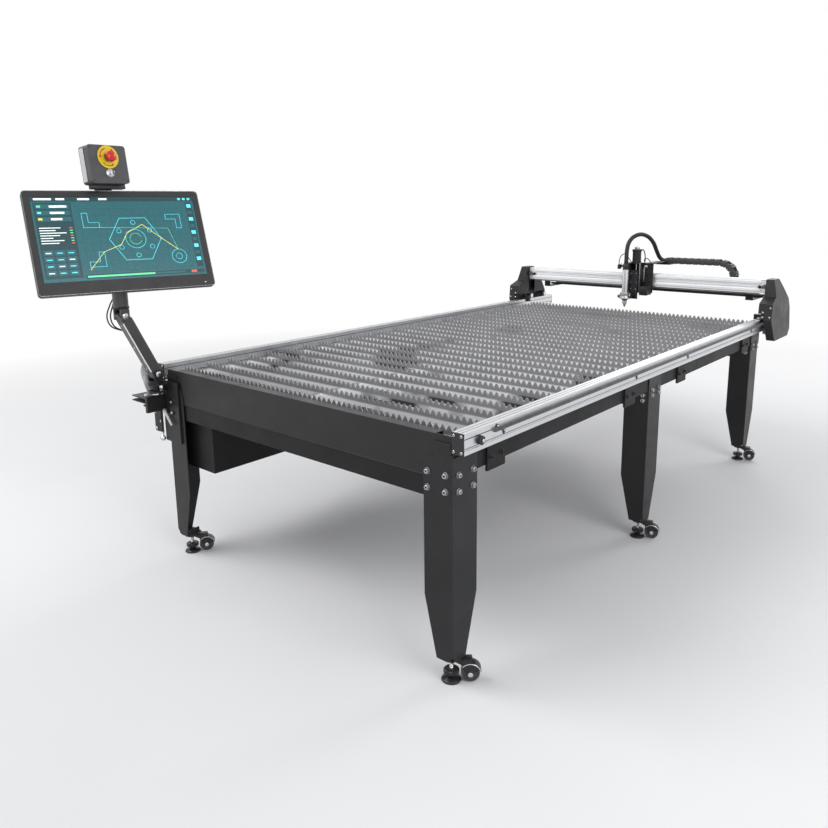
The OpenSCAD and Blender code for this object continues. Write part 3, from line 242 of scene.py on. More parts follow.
COAT = painted("powder_coat_black", (0.011, 0.011, 0.012), (0.075, 0.075, 0.08))
COAT_FRAME = painted("powder_coat_frame", (0.008, 0.008, 0.009), (0.06, 0.06, 0.065), (0.42, 0.54), shine=0.2)
# The covers' pale edge colour over a wide rounded edge paints a highlight along their folds.
COVER = painted("cover_paint", (0.016, 0.016, 0.017), (0.20, 0.20, 0.205), (0.36, 0.50), 0.4, 700, 0.0035)
ARM_PAINT = painted("arm_paint", (0.052, 0.052, 0.053), (0.34, 0.34, 0.35), (0.26, 0.38), 0.25, 900, 0.003, shine=0.5)
PALE_PLATE = plastic("pale_plate", (0.80, 0.80, 0.81), (0.34, 0.46), 700, 0.08, 0.0008, 1.02)
RAIL = metal("rail_aluminium", (0.74, 0.75, 0.77), (0.66, 0.67, 0.69), (0.26, 0.40), (90, 2.5, 900))
BEAM = metal("beam_aluminium", (0.93, 0.94, 0.95), (0.91, 0.92, 0.93), (0.42, 0.50), (2.5, 90, 1100), 0.05,
             metallic=0.45)
# The slats' band under 742 mm is painted light, bright with dark patches, for the light seen through the notches.
SLAT = metal("slat_steel", (0.38, 0.38, 0.39), (0.28, 0.28, 0.29), (0.38, 0.55), (3, 40, 500), 0.25, 0.0005, 0.6, 4,
             (0.742, (0.95, 0.95, 0.96), (0.06, 0.06, 0.06)))
TRAY = metal("tray_steel", (0.46, 0.46, 0.47), (0.36, 0.36, 0.37), (0.34, 0.5), (60, 3, 60), 0.2, 0.001, 0.85, 6)
RACK = metal("rack_steel", (0.22, 0.22, 0.23), (0.14, 0.14, 0.14), (0.3, 0.45), (300, 300, 300), 0.2, 0.0005, 0.9, 30)
BRIGHT = metal("bright_steel", (0.72, 0.72, 0.74), (0.60, 0.60, 0.62), (0.14, 0.26), (200, 200, 200), 0.08, 0.0006)
ZINC = metal("zinc_plate", (0.62, 0.63, 0.65), (0.50, 0.51, 0.54), (0.24, 0.38), (120, 120, 120), 0.15, 0.001, 1, 40)
BLACK_PLASTIC = plastic("black_plastic", (0.008, 0.008, 0.009))
MOTOR = painted("motor_enamel", (0.014, 0.014, 0.015), (0.2, 0.2, 0.2), (0.3, 0.42), 0.3, 500, 0.001)
CHAIN = plastic("chain_nylon", (0.030, 0.030, 0.032), (0.38, 0.5), 900, 0.15, 0.0008)
HOSE = plastic("hose_rubber", (0.012, 0.012, 0.012), (0.5, 0.65), 500, 0.35)
RUBBER = plastic("rubber", (0.018, 0.018, 0.018), (0.6, 0.75), 700, 0.5)
WHEEL = plastic("wheel_nylon", (0.05, 0.05, 0.052), (0.32, 0.45), 900, 0.15)
GREY_BOX = plastic("box_plastic", (0.055, 0.055, 0.058), (0.42, 0.54), 1100, 0.25)
BOARD = plastic("electronics_housing", (0.30, 0.31, 0.33), (0.4, 0.5), 800, 0.2)
RED = plastic("red_plastic", (0.62, 0.012, 0.012), (0.18, 0.28), 300, 0.05, 0.0015, 1.15)
YELLOW = plastic("yellow_plastic", (0.78, 0.60, 0.02), (0.3, 0.42), 600, 0.08, 0.0008, 1.1)
SCREEN = plastic("screen_glass", (0.010, 0.055, 0.070), (0.10, 0.16), 200, 0.02, 0.0005, 1.5)

SLOT_DARK = plastic("dark_gap", (0.006, 0.006, 0.006), (0.5, 0.6), 600, 0.1)
SOCKET = plastic("socket_black", (0.004, 0.004, 0.004), (0.4, 0.5), 800, 0.1)
CASTOR_BODY = painted("castor_enamel", (0.016, 0.016, 0.017), (0.22, 0.22, 0.225), (0.20, 0.32), 0.2, 500, 0.0009)
TORCH_TUBE = metal("torch_tube", (0.74, 0.75, 0.77), (0.66, 0.67, 0.69), (0.18, 0.30), (400, 400, 2.0), 0.05, 0.0006)
COPPER = metal("copper_tip", (0.72, 0.36, 0.22), (0.50, 0.24, 0.15), (0.24, 0.40), (200, 200, 200), 0.1, 0.0004)
GREY_NOZZLE = plastic("nozzle_ceramic", (0.42, 0.42, 0.43), (0.34, 0.46), 900, 0.1, 0.0008, 1.1)
STEEL_PLATE = metal("plain_steel", (0.56, 0.56, 0.58), (0.42, 0.42, 0.44), (0.28, 0.42), (60, 400, 60), 0.15, 0.0008)
KNOB_SILVER = metal("knob_silver", (0.62, 0.62, 0.63), (0.50, 0.50, 0.51), (0.30, 0.42), (90, 90, 90), 0.1, 0.0006, 0.8)
RIM = metal("rim_silver", (0.66, 0.66, 0.68), (0.56, 0.56, 0.58), (0.2, 0.3), (150, 150, 150), 0.05, 0.0003)
GLOW_PANEL = glowing("glow_panel", (0.008, 0.080, 0.095))
GLOW_DEEP = glowing("glow_deep", (0.004, 0.034, 0.042))
GLOW_WHITE = glowing("glow_white", (0.75, 0.82, 0.82))
GLOW_CYAN = glowing("glow_cyan", (0.10, 0.62, 0.70))
GLOW_YELLOW = glowing("glow_yellow", (0.72, 0.74, 0.10))
GLOW_GREEN = glowing("glow_green", (0.12, 0.66, 0.30))
GLOW_RED = glowing("glow_red", (0.75, 0.08, 0.06))

# ---- Sizes of the frame that its boxes don't give, in mm ----
FRAME_L = 2680
LEG_PITCH = 1267
MEMBER_H = 70
BRACKET_SHARES = (0.077, 0.4075, 0.595, 0.905)
CASTOR_W = 24
CHAIN_W, CHAIN_H, LINK_L = 60, 35, 40
LEAD_R = 12
MOTOR_W, MOTOR_L = 56, 66
LIFT_MOTOR_W, CROSS_MOTOR_W = 42, 50
CARRIAGE_Y, CARRIAGE_X = 2626, (-40, 110)
REST_Y = 2650
SCREEN_W, SCREEN_H, SCREEN_TILT, TILT_BACK = 587, 365, 21.8, 62
BUTTON_RISE, KEY_DROP = 24, 30

FINISH = {
    "front_panel": COAT, "base_frame": COAT_FRAME, "legs": COAT, "rails": RAIL, "racks": RACK,
    "end_caps": BLACK_PLASTIC, "frame_bolts": BRIGHT, "slat_bed": SLAT, "slag_tray": TRAY,
    "cabinet_body": COAT_FRAME, "cabinet_electronics": BOARD, "cabinet_door": COAT, "door_latch": BRIGHT,
    "arm_bracket": COAT, "levelling_feet": RUBBER, "gantry_beam": BEAM, "x_rack": RACK,
    "truck_plates": COAT, "truck_covers": COVER, "y_motors": MOTOR, "chain_tray": COAT,
    "chain_lower_run": CHAIN, "chain_bend": CHAIN, "chain_top_run": CHAIN,
    "carriage_plate": COAT, "carriage_motors": MOTOR, "lifter_housing": COAT, "lead_screw": BRIGHT,
    "torch_holder": COAT, "torch": BEAM, "torch_lead": HOSE,
    "arm_base": COAT, "arm_link": ARM_PAINT, "arm_post": ARM_PAINT, "monitor_mount": COAT,
    "monitor_shell": BLACK_PLASTIC, "monitor_screen": SCREEN, "stop_box": GREY_BOX,
    "stop_button": RED, "key_switch": BRIGHT, "keyboard_tray": COAT,
}
for name, node in nodes.items():
    finish = FINISH.get(name)
    if finish is None:
        finish = WHEEL if name.startswith("castor_wheel") else ZINC if name.startswith("castor_fork") else BRIGHT
    node.data.materials.clear()
    node.data.materials.append(finish)


# ---- Places read from the frame, in mm of the table's own axes ----
def in_table(v):
    return (Vector(v) - ORIGIN) / MM


def span(node):
    """Lowest and highest corner of a CAD node."""
    low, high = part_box(node)
    return in_table(low), in_table(high)


def middle(node):
    low, high = span(node)
    return (low + high) / 2


JOINTS = {j["name"]: j for j in frame["joints"]}


def joint_at(name):
    return in_table(JOINTS[name]["pos_m"])


def joint_axis(name):
    return Vector(JOINTS[name]["axis"]).normalized()


def axes(origin, x, y, z):
    """A local frame from its origin and its three unit axes."""
    turn = Matrix((x, y, z)).transposed().to_4x4()
    return Matrix.Translation(origin) @ turn


def facing(origin, normal):
    """A local frame with Z along normal, X level and Y as upright as it can be."""
    z = Vector(normal).normalized()
    x = Vector((0, 0, 1)).cross(z)
    x = x.normalized() if x.length > 1e-6 else Vector((1, 0, 0))
    return axes(origin, x, z.cross(x), z)


X, Y, Z = Vector((1, 0, 0)), Vector((0, 1, 0)), Vector((0, 0, 1))


def arc(centre, radius, start, end, steps):
    """Points on a circle between two angles in degrees."""
    turns = [math.radians(start + (end - start) * i / steps) for i in range(steps + 1)]
    return [(centre[0] + radius * math.cos(a), centre[1] + radius * math.sin(a)) for a in turns]


def rounded_rect(w, h, r, steps=6):
    corners = [(w / 2 - r, h / 2 - r), (r - w / 2, h / 2 - r), (r - w / 2, r - h / 2), (w / 2 - r, r - h / 2)]
    return [p for i, c in enumerate(corners) for p in arc(c, r, 90 * i, 90 * i + 90, steps)]


def smooth_route(points, steps=8):
    """Catmull-Rom curve through the points."""
    p = [Vector(q) for q in points]
    out = []
    for i in range(len(p) - 1):
        a, b, c, d = p[max(i - 1, 0)], p[i], p[i + 1], p[min(i + 2, len(p) - 1)]
        for k in range(steps):
            f = k / steps
            out.append(0.5 * (2 * b + (c - a) * f + (2 * a - 5 * b + 4 * c - d) * f * f
                              + (3 * b - a - 3 * c + d) * f ** 3))
    return out + [p[-1]]


# ---- Building pieces ----
class Build:
    """One piece in the making. Shapes go in as millimetres, in the local frame that place holds."""

    def __init__(self, *materials):
        self.materials = list(materials)
        self.verts, self.faces, self.marks = [], [], []
        self.place = Matrix.Identity(4)

    def at(self, place=None):
        self.place = place or Matrix.Identity(4)

    def add(self, verts, faces, material=None):
        material = material or self.materials[0]
        if material not in self.materials:
            self.materials.append(material)
        base = len(self.verts)
        self.verts += [self.place @ Vector(v) for v in verts]
        self.faces += [[base + i for i in f] for f in faces]
        self.marks += [self.materials.index(material)] * len(faces)

    def add_bevelled(self, verts, faces, bevel, material):
        if bevel > 0:
            bm = bmesh.new()
            made = [bm.verts.new(v) for v in verts]
            for f in faces:
                bm.faces.new([made[i] for i in f])
            bmesh.ops.recalc_face_normals(bm, faces=bm.faces)
            sharp = [e for e in bm.edges if e.calc_face_angle(0) > 0.5]
            bmesh.ops.bevel(bm, geom=sharp, offset=bevel, segments=2, profile=0.5, affect="EDGES", clamp_overlap=True)
            bm.verts.index_update()
            verts = [tuple(v.co) for v in bm.verts]
            faces = [[v.index for v in f.verts] for f in bm.faces]
            bm.free()
        self.add(verts, faces, material)

    def box(self, low, high, bevel=0.8, material=None):
        (x0, x1), (y0, y1), (z0, z1) = (sorted(pair) for pair in zip(low, high))
        self.prism([(x0, y0), (x1, y0), (x1, y1), (x0, y1)], z0, z1, bevel, material)

    def prism(self, outline, z0, z1, bevel=0.8, material=None):
        """An outline in X and Y, drawn along Z."""
        n = len(outline)
        verts = [(x, y, z0) for x, y in outline] + [(x, y, z1) for x, y in outline]
        faces = [list(range(n))[::-1], list(range(n, 2 * n))]
        faces += [[i, (i + 1) % n, n + (i + 1) % n, n + i] for i in range(n)]
        self.add_bevelled(verts, faces, bevel, material)

    def lathe(self, profile, sides=32, material=None, flutes=0, depth=0.0):
        """A profile of (radius, height) turned about Z; (radius, height, 6) is a hexagon, flutes a wavy edge."""
        verts, rings = [], []
        for point in profile:
            r, z = point[0], point[1]
            if r <= 0:
                rings.append([len(verts)])
                verts.append((0, 0, z))
                continue
            rings.append(list(range(len(verts), len(verts) + sides)))
            for k in range(sides):
                a = 2 * math.pi * k / sides
                reach = r
                if len(point) == 3:
                    corner = 2 * math.pi / point[2]
                    reach = r / math.cos((a % corner) - corner / 2)
                if flutes:
                    reach -= depth * (0.5 - 0.5 * math.cos(flutes * a)) * (r / max(q[0] for q in profile)) ** 4
                verts.append((reach * math.cos(a), reach * math.sin(a), z))
        faces = []
        for low, high in zip(rings, rings[1:]):
            for k in range(sides):
                j = (k + 1) % sides
                if len(low) == 1 and len(high) > 1:
                    faces.append([low[0], high[j], high[k]])
                elif len(high) == 1 and len(low) > 1:
                    faces.append([low[k], low[j], high[0]])
                elif len(low) > 1:
                    faces.append([low[k], low[j], high[j], high[k]])
        self.add(verts, faces, material)

    def tube(self, points, radius, sides=10, material=None):
        """A tube along points; radius is one number or a list with one for each point."""
        p = [Vector(q) for q in points]
        radii = radius if isinstance(radius, list) else [radius] * len(p)
        side = None
        verts = []
        for i, q in enumerate(p):
            ahead = (p[min(i + 1, len(p) - 1)] - p[max(i - 1, 0)]).normalized()
            if side is None:
                side = ahead.orthogonal().normalized()
            side = (side - ahead * side.dot(ahead)).normalized()
            other = ahead.cross(side)
            for k in range(sides):
                a = 2 * math.pi * k / sides
                verts.append(q + (side * math.cos(a) + other * math.sin(a)) * radii[i])
        faces = [list(range(sides))[::-1], [(len(p) - 1) * sides + k for k in range(sides)]]
        for i in range(len(p) - 1):
            for k in range(sides):
                j = (k + 1) % sides
                faces.append([i * sides + k, i * sides + j, (i + 1) * sides + j, (i + 1) * sides + k])
        self.add(verts, faces, material)

    def cap_screw(self, place, r, h, washer, material=None, under=None):
        """A socket-head screw on a washer of the material under, standing on the local XY plane."""
        self.at(place)
        if washer:
            self.lathe([(0, 0), (washer, 0), (washer, 1.2), (washer - 0.5, 1.8), (r - 1, 1.8)], 24, under or material)
        top = h + (1.8 if washer else 0)
        self.lathe([(r, 0), (r, top - 0.8), (r - 0.8, top), (0.62 * r, top), (0.55 * r, top - 0.6, 6),
                    (0.55 * r, top - 0.55 * h, 6), (0, top - 0.55 * h)], 24, material)
        self.lathe([(0.54 * r, top - 0.53 * h, 6), (0, top - 0.53 * h)], 24, SOCKET)
        self.at()

    def done(self, name, body, replaces=(), angle=35):
        """Makes the object. body is one body's name, which the piece is attached to; a tuple such as (body_a, body_b,
        start, end) is not read further, and the piece stays unattached with its placement baked in.
        """
        mesh = bpy.data.meshes.new(name)
        mesh.from_pydata([ORIGIN + v * MM for v in self.verts], [], self.faces)
        for m in self.materials:
            mesh.materials.append(m)
        mesh.polygons.foreach_set("material_index", self.marks)
        bm = bmesh.new()
        bm.from_mesh(mesh)
        bmesh.ops.recalc_face_normals(bm, faces=bm.faces)
        bm.to_mesh(mesh)
        bm.free()
        mesh.polygons.foreach_set("use_smooth", [True] * len(mesh.polygons))
        mesh.set_sharp_from_angle(angle=math.radians(angle))
        piece = bpy.data.objects.new(name, mesh)
        bpy.context.scene.collection.objects.link(piece)
        if isinstance(body, str):
            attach(piece, body)
        else:
            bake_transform(piece)
        if replaces:
            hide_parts(*replaces)
        return piece


# ---- Bolts of the frame ----
def frame_bolts():
    b = Build(BRIGHT, SOCKET)
    leg_lo, leg_hi = span("legs")
    leg_x = leg_hi.x
    beam_bot = span("base_frame")[0].z + MEMBER_H
    legs_y = [leg_lo.y + i * LEG_PITCH for i in range(3)]
    low = beam_bot - 40
    for i, y in enumerate(legs_y):
        high = beam_bot + 8 if i == 0 else low + 22
        for z in (low, high):
            for s in (1,) if i == 0 else (-1, 1):
                for x in (leg_x - 24, leg_x - 89):
                    b.cap_screw(facing((s * x, y, z), -Y), 7, 7, 10.5, ZINC, RACK)
            for s in (-1, 1):
                for back in (26, 92):
                    b.cap_screw(facing((s * leg_x, y + back, z if i == 0 else z + 20), s * X), 7, 7, 10.5, ZINC, RACK)
    for s in (-1, 1):
        for share in BRACKET_SHARES:
            for d in (-28, 28):
                b.cap_screw(facing((s * 711, share * FRAME_L + d, beam_bot + 22), s * X), 6.5, 6, 9.5, CASTOR_BODY)
        for x in (717, 743):
            for z in (726, 772):
                b.cap_screw(facing((s * x, -3, z), -Y), 4.2, 2.6, 0)
    b.done("frame_screws", "table", ("frame_bolts",))


# ---- Rails: groove lines, rear stops and the small tabs under the racks ----
def rail_details():
    b = Build(SLOT_DARK, BRIGHT, BLACK_PLASTIC)
    hi = span("rails")[1]
    for s in (-1, 1):
        b.at()
        # Slots of the extrusion, along its outer and inner side
        for x in (hi.x, hi.x - 40):
            for z, h in ((hi.z - 18, 2.4), (hi.z - 44, 1.6)):
                y1 = 128 if x == hi.x and h > 2 else hi.y - 1
                b.box((s * (x - 0.35), 1, z), (s * (x + 0.35), y1, z + h), 0)
        for x in (hi.x - 27, hi.x - 13):
            b.box((s * x, 1, hi.z - 0.2), (s * (x + 1.6), hi.y - 1, hi.z + 0.25), 0)
        for y in (151, 184, 1052, 1549, 2378):
            low = y > 160
            z = hi.z - 29 if low else hi.z - 12
            place = facing((s * hi.x, y, z), s * X)
            b.at(place)
            drop = [*arc((0, 0), 7, -20, 200, 12), (0, -15)]
            b.prism(drop, 0, 2.6, 0.6, BLACK_PLASTIC)
            b.cap_screw(place @ Matrix.Translation((0, 0, 2.4)), 4, 3, 0, BRIGHT)
        # Bright nub of the end stop
        b.at(facing((s * (hi.x + 10), 69, hi.z - 32), s * X))
        b.lathe([(0, 0), (5.4, 0), (5.4, 4.4), (4.2, 5.2), (0, 5.2)], 20, BRIGHT)
    b.done("rail_details", "table")


# ---- Legs: folded edge, weld beads and ribs across the castor plates ----
def leg_details():
    b = Build(COAT)
    lo, hi = span("legs")
    for i in range(3):
        y = lo.y + i * LEG_PITCH
        for s in (-1, 1):
            top = hi.z - 30 if i == 0 else 625
            # Round of the fold and the weld up its inside
            b.at()
            b.tube([(s * (hi.x - 2.2), y + 2.2, z) for z in (102, 300, 500, top)], 2.6, 12)
            bead = [(s * (hi.x - 6), y + 6, 110 + k * 6 + (k % 2)) for k in range(40)]
            b.tube(bead, [1.6 + 0.5 * (k % 2) for k in range(40)], 8)
            # Stiffening rib across the castor plate
            b.box((s * (hi.x - 58), y + 5, 86), (s * (hi.x - 52), y + 60, 104), 0.8)
    b.done("leg_welds", "table")


# ---- Levelling castors ----
def castor(i):
    name = f"castor_fork_{i}"
    swivel = joint_at(f"castor_swivel_{i}")
    axle = joint_at(f"wheel_turn_{i}")
    r, trail = axle.z, math.hypot(axle.x - swivel.x, axle.y - swivel.y)
    ahead = Vector((axle.x - swivel.x, axle.y - swivel.y, 0)).normalized()
    top = span(name)[1].z
    home = axes((swivel.x, swivel.y, 0), ahead.cross(Z), ahead, Z)
    across = home @ axes((0, 0, 0), Y, Z, X)     # outlines in (along the trail, up), drawn across
    half = CASTOR_W / 2
    b = Build(CASTOR_BODY, BRIGHT, SOCKET)
    b.at(home @ Matrix.Translation((0, 0, top - 13)))
    b.lathe([(7, 0), (20, 0), (23, 1.5), (23, 3.4), (26, 5), (26.8, 6), (26.8, 8), (25.6, 8.6), (25.6, 9.4),
             (26.8, 10), (26.8, 12.2), (26, 13), (7, 13), (7, 0)], 48)
    for s in (-1, 1):
        x0 = s * (half + 1)
        cheek = [(trail - 27, top - 8), (trail + 4, top - 8), *arc((trail, r), r + 4.8, 78, 24, 8),
                 *arc((trail, r), 11.5, 20, -150, 14), (trail - 27, r + 23)]
        b.at(across)
        b.prism(cheek[::-1], min(x0, x0 + s * 3.2), max(x0, x0 + s * 3.2), 0.9)
        # Hub boss and axle nut, and a raised bright steel arc along the cheek that paints a highlight
        b.at(home @ axes((x0 + s * 3.2, trail, r), s * Y, Z, s * X))
        b.lathe([(0, 0), (11.2, 0), (11.2, 1.4), (10, 2.4), (8, 2.4)], 32)
        b.lathe([(0, 2.0), (7.2, 2.0, 6), (7.2, 5.0, 6), (6.4, 5.6), (3.6, 5.6), (3.4, 6.6), (0, 6.6)], 24, BRIGHT)
        # Painted highlight: a bright steel arc along the cheek's edge.
        highlight_arc = [home @ Vector((x0 + s * 3.0, trail + (r + 3.4) * math.cos(a), r + (r + 3.4) * math.sin(a)))
               for a in [math.radians(20 + 118 * k / 18) for k in range(19)]]
        b.at()
        b.tube(highlight_arc, 1.5, 8, BRIGHT)
    # Mudguard over the wheel and the bridge to the swivel
    b.at(across)
    guard = arc((trail, r), r + 2.5, 14, 136, 20) + arc((trail, r), r + 5, 136, 14, 20)
    b.prism(guard, -half - 4.2, half + 4.2, 0.7)
    bridge = [(4, top - 12), (trail - 20, r + 22), (trail - 4, r + r + 4.5), (trail + 6, top - 9),
              (trail - 8, top - 6), (4, top - 5)]
    b.prism(bridge, -half - 1, half + 1, 1.2)
    for a in (-1, 1):
        b.at(across)
        b.prism([(-22, top - 9), (-4, top - 9), (-4, top - 14), (-16, top - 13)], a * 9 - 1.5, a * 9 + 1.5, 0.6)
    b.done(f"castor_housing_{i}", f"castor_{i}", (name,))

    b = Build(WHEEL, BRIGHT, SOCKET)
    b.at(home @ axes((-half, trail, r), Y, Z, X))
    w = CASTOR_W
    face = [(4.2, 1.5), (8.5, 1.5), (9.5, 3.2), (15, 3.6), (r - 7.5, 3.2), (r - 6, 0.6), (r - 3, 0), (r - 1, 0.8), (r, 3),
            (r, w / 2 - 2.4), (r - 0.9, w / 2 - 1.4)]
    b.lathe([*face, *[(q, w - z) for q, z in face[::-1]], face[0]], 64)
    for z in (1.0, w - 2.2):
        b.lathe([(4.1, z), (7.4, z), (7.4, z + 1.2), (4.1, z + 1.2), (4.1, z)], 32, BRIGHT)
    for k in range(8):
        x, y = 14 * math.cos(math.radians(45 * k)), 14 * math.sin(math.radians(45 * k))
        for z in (2.9, w - 4.1):
            b.box((x - 1.6, y - 1.6, z), (x + 1.6, y + 1.6, z + 1.2), 0.3)
    b.done(f"castor_tyre_{i}", f"wheel_{i}", (f"castor_wheel_{i}",))


def levelling_feet():
    b = Build(RUBBER, CASTOR_BODY, BRIGHT)
    for i in range(1, 7):
        at = joint_at(f"castor_swivel_{i}")
        b.at(Matrix.Translation((at.x, at.y, 0)))
        b.lathe([(0, 0), (29, 0), (30, 1), (30, 4), (29.2, 4.8), (29.2, 5.6), (0, 5.6)], 48)
        b.lathe([(0, 5.4), (28.6, 5.4), (28.6, 6.6), (25, 9.4), (14, 12.6), (10.5, 15.4), (7.5, 16), (0, 16)], 48,
                CASTOR_BODY)
        thread = [(6.0 if k % 2 else 5.3, 15 + k * 0.9) for k in range(92)]
        b.lathe([(0, 15), *thread, (0, 15 + 91 * 0.9)], 20, BRIGHT)
        b.lathe([(6.2, 22), (20, 22), (24, 24.5), (24, 34.5), (20, 37), (12, 37), (10.5, 39.5), (6.2, 39.5)], 96,
                CASTOR_BODY, 24, 2.2)
    b.done("levelling_pads", "levelling_feet", ("levelling_feet",))


# ---- Drag chain ----
def chain_link(b, place):
    """One link with its hoses, from X 0 to its pitch, CHAIN_W across Y and CHAIN_H high."""
    length, wide, high = LINK_L, CHAIN_W, CHAIN_H
    mid = high / 2
    for low in (True, False):
        y0 = 1.2 if low else wide - 4.2
        b.at(place @ axes((0, y0 + 3, 0), X, Z, -Y))
        plate = [(2.5, 5), (5.5, 1.8), (30, 1.8), *arc((28, mid), mid - 1.8, -78, 78, 10),
                 (30, high - 1.8), (5.5, high - 1.8), (2.5, high - 5)]
        b.prism(plate, 0, 3, 0.7)
        # Tongue of the neighbour and pin boss
        y1 = 4.4 if low else wide - 7.0
        b.at(place @ axes((0, y1 + 2.6, 0), X, Z, -Y))
        b.prism([*arc((0, mid), mid - 4, 90, 270, 12), (9, 4), (9, high - 4)], 0, 2.6, 0.5)
        boss = axes((length - 7, 0.1, mid), X, Z, -Y) if low else axes((length - 7, wide - 0.1, mid), X, -Z, Y)
        b.at(place @ boss)
        b.lathe([(0, -1.3), (8.2, -1.3), (8.2, -0.5), (7.4, 0), (4.6, 0), (4.2, -0.8), (0, -0.8)], 24)
    for z in (0, high - 2.2):
        b.at(place)
        b.box((7, 0.6, z), (17, wide - 0.6, z + 2.2), 0.6)
        b.box((22, 0.6, z), (31, wide - 0.6, z + 2.2), 0.6)
        b.box((5, wide / 2 - 2, z + 0.3), (33, wide / 2 + 2, z + 1.9), 0.4)
    for y in (14, 24, 33, 44):
        b.tube([(0, y, mid - 3), (length, y, mid - 3)], 4.2, 8, HOSE)


def chain():
    (top_lo, top_hi), low_lo = span("chain_top_run"), span("chain_lower_run")[0]
    turn, y = top_hi.x, top_lo.y
    centre = (top_hi.z + low_lo.z) / 2
    b = Build(CHAIN, HOSE)
    for i in range(round((turn - top_lo.x) / LINK_L)):
        chain_link(b, Matrix.Translation((top_lo.x + i * LINK_L, y, top_lo.z)))
    b.done("chain_links_top", ("gantry", "carriage", (2 * turn - top_lo.x, 0, 0), (top_lo.x, 0, 0)),
           ("chain_top_run",))
    fixed = low_lo.x
    b = Build(CHAIN, HOSE)
    for i in range(round((turn - fixed) / LINK_L)):
        chain_link(b, Matrix.Translation((fixed + i * LINK_L, y, low_lo.z)))
    b.done("chain_links_low", ("gantry", "carriage", (fixed, 0, 0), (2 * turn - fixed, 0, 0)),
           ("chain_lower_run",))
    b = Build(CHAIN, HOSE)
    n = 6
    reach = (centre - low_lo.z - CHAIN_H / 2) * math.cos(math.pi / 2 / n)
    for i in range(n):
        a = math.radians(-90 + (i + 0.5) * 180 / n)
        ahead, inward = Vector((-math.sin(a), 0, math.cos(a))), Vector((-math.cos(a), 0, -math.sin(a)))
        origin = Vector((turn, y, centre)) - inward * (reach + CHAIN_H / 2) - ahead * LINK_L / 2
        chain_link(b, axes(origin, ahead, Y, inward))
    b.done("chain_links_bend", "chain_bend", ("chain_bend",))


# ---- Torch and its lead ----
def torch():
    lo, hi = span("torch")
    x, y = middle("torch").x, middle("torch").y
    collar = lo.z + 49
    r = (hi.x - lo.x) / 2
    b = Build(TORCH_TUBE, BLACK_PLASTIC, BRIGHT, COPPER, GREY_NOZZLE)
    b.at(Matrix.Translation((x, y, 0)))
    top = hi.z - 14
    b.lathe([(r - 3, collar - 2), (r, collar), (r, top - 34), (r - 0.8, top - 33), (r - 3, top - 33)], 64)
    b.lathe([(r - 4, top - 34), (r, top - 33), (r, top - 26), (r - 1, top - 25), (r - 1, top - 22), (r, top - 21), (r, top - 4),
             (r - 2.5, top), (8, top)], 64, BLACK_PLASTIC, 24, 0.6)
    b.lathe([(r - 5, top - 1), (14, top), (14, top + 3), (12.4, top + 4), (12.4, top + 6), (13.6, top + 7), (13.6, top + 9.5),
             (12.2, top + 10.5), (12.2, top + 12.5), (13.2, top + 13.8), (5, top + 13.8)], 48, BLACK_PLASTIC)
    b.lathe([(r - 3, collar - 1), (r - 1.5, collar - 3), (r - 2, collar - 8), (12.8, collar - 10), (5, collar - 10)], 64, BLACK_PLASTIC)
    b.lathe([(5, collar - 9), (13, collar - 10), (13, collar - 24), (12.4, collar - 26), (9, collar - 33.5),
             (8.4, collar - 34.5), (4, collar - 34.5)], 64, GREY_NOZZLE)
    b.lathe([(6, collar - 34), (7.6, collar - 35), (5, collar - 42), (4.4, collar - 45), (2.8, collar - 48),
             (1.2, collar - 48), (1.1, collar - 45), (0, collar - 45)], 48, COPPER)
    for z in (collar - 14, collar - 18):
        b.lathe([(12.4, z), (13.2, z + 0.5), (13.2, z + 1.3), (12.4, z + 1.8)], 64, BRIGHT)
    b.done("machine_torch", "lifter", ("torch",))


def lead_route():
    """The torch lead's route, from the torch's tail over the carriage to the chain's moving end."""
    x, y, top = middle("torch").x, middle("torch").y, span("torch")[1].z - 14
    steps = [(0, 0, 14.3), (0, 0, 40), (1, 1, 80), (6, 10, 120), (20, 38, 152), (42, 88, 166), (62, 146, 150),
             (72, 200, 112), (72, 248, 66), (78, 282, 26), (96, 295, 8), (120, 295, 6)]
    return [(x + dx, y + dy, top + dz) for dx, dy, dz in steps]


def torch_lead():
    b = Build(HOSE)
    route = smooth_route(lead_route(), 24)
    length = [0.0]
    for p, q in zip(route, route[1:]):
        length.append(length[-1] + (q - p).length)
    pitch = 6.0
    radii = [LEAD_R - 0.9 * (0.5 - 0.5 * math.cos(2 * math.pi * s / pitch)) ** 2 for s in length]
    b.tube(route, radii, 20)
    start, end = route[-1], route[0]
    piece = b.done("torch_lead_hose", ("carriage", "lifter", tuple(start), tuple(end)),
                   ("torch_lead",), 60)


# ---- Motors ----
def stepper(b, place, w, length, bell=0):
    """A square stepper motor standing on its flange: laminated body, end caps, screws, a round disc on its end and an
    optional bell.
    """
    b.at(place)
    flange, cap = 7, 13
    b.prism(rounded_rect(w, w, 4), 0, flange, 0.8)
    b.prism(rounded_rect(w, w, 4), length - cap, length, 1.0)
    steps = int((length - flange - cap) / 3)
    for k in range(steps):
        z = flange + (k + 0.5) * (length - flange - cap) / steps
        b.prism(rounded_rect(w - 1.2, w - 1.2, 8), z - 1.2, z + 1.2, 0.2)
    b.prism(rounded_rect(w - 3.5, w - 3.5, 8), flange, length - cap, 0)
    for sx in (-1, 1):
        for sy in (-1, 1):
            p = place @ Matrix.Translation((sx * (w / 2 - 5.5), sy * (w / 2 - 5.5), length - 0.4))
            b.cap_screw(p, 2.4, 0.4, 0, BRIGHT)
    b.at(place)
    b.lathe([(0, length), (w * 0.34, length), (w * 0.34, length + 0.8), (w * 0.3, length + 1.2), (0, length + 1.2)], 40)
    if bell:
        top = length + bell
        b.lathe([(0, length), (15.6, length), (16, length + 1), (16, top - 2), (14.6, top - 0.4), (12.8, top - 0.2),
                 (12.4, top - 1), (0, top - 1)], 48, BRIGHT)


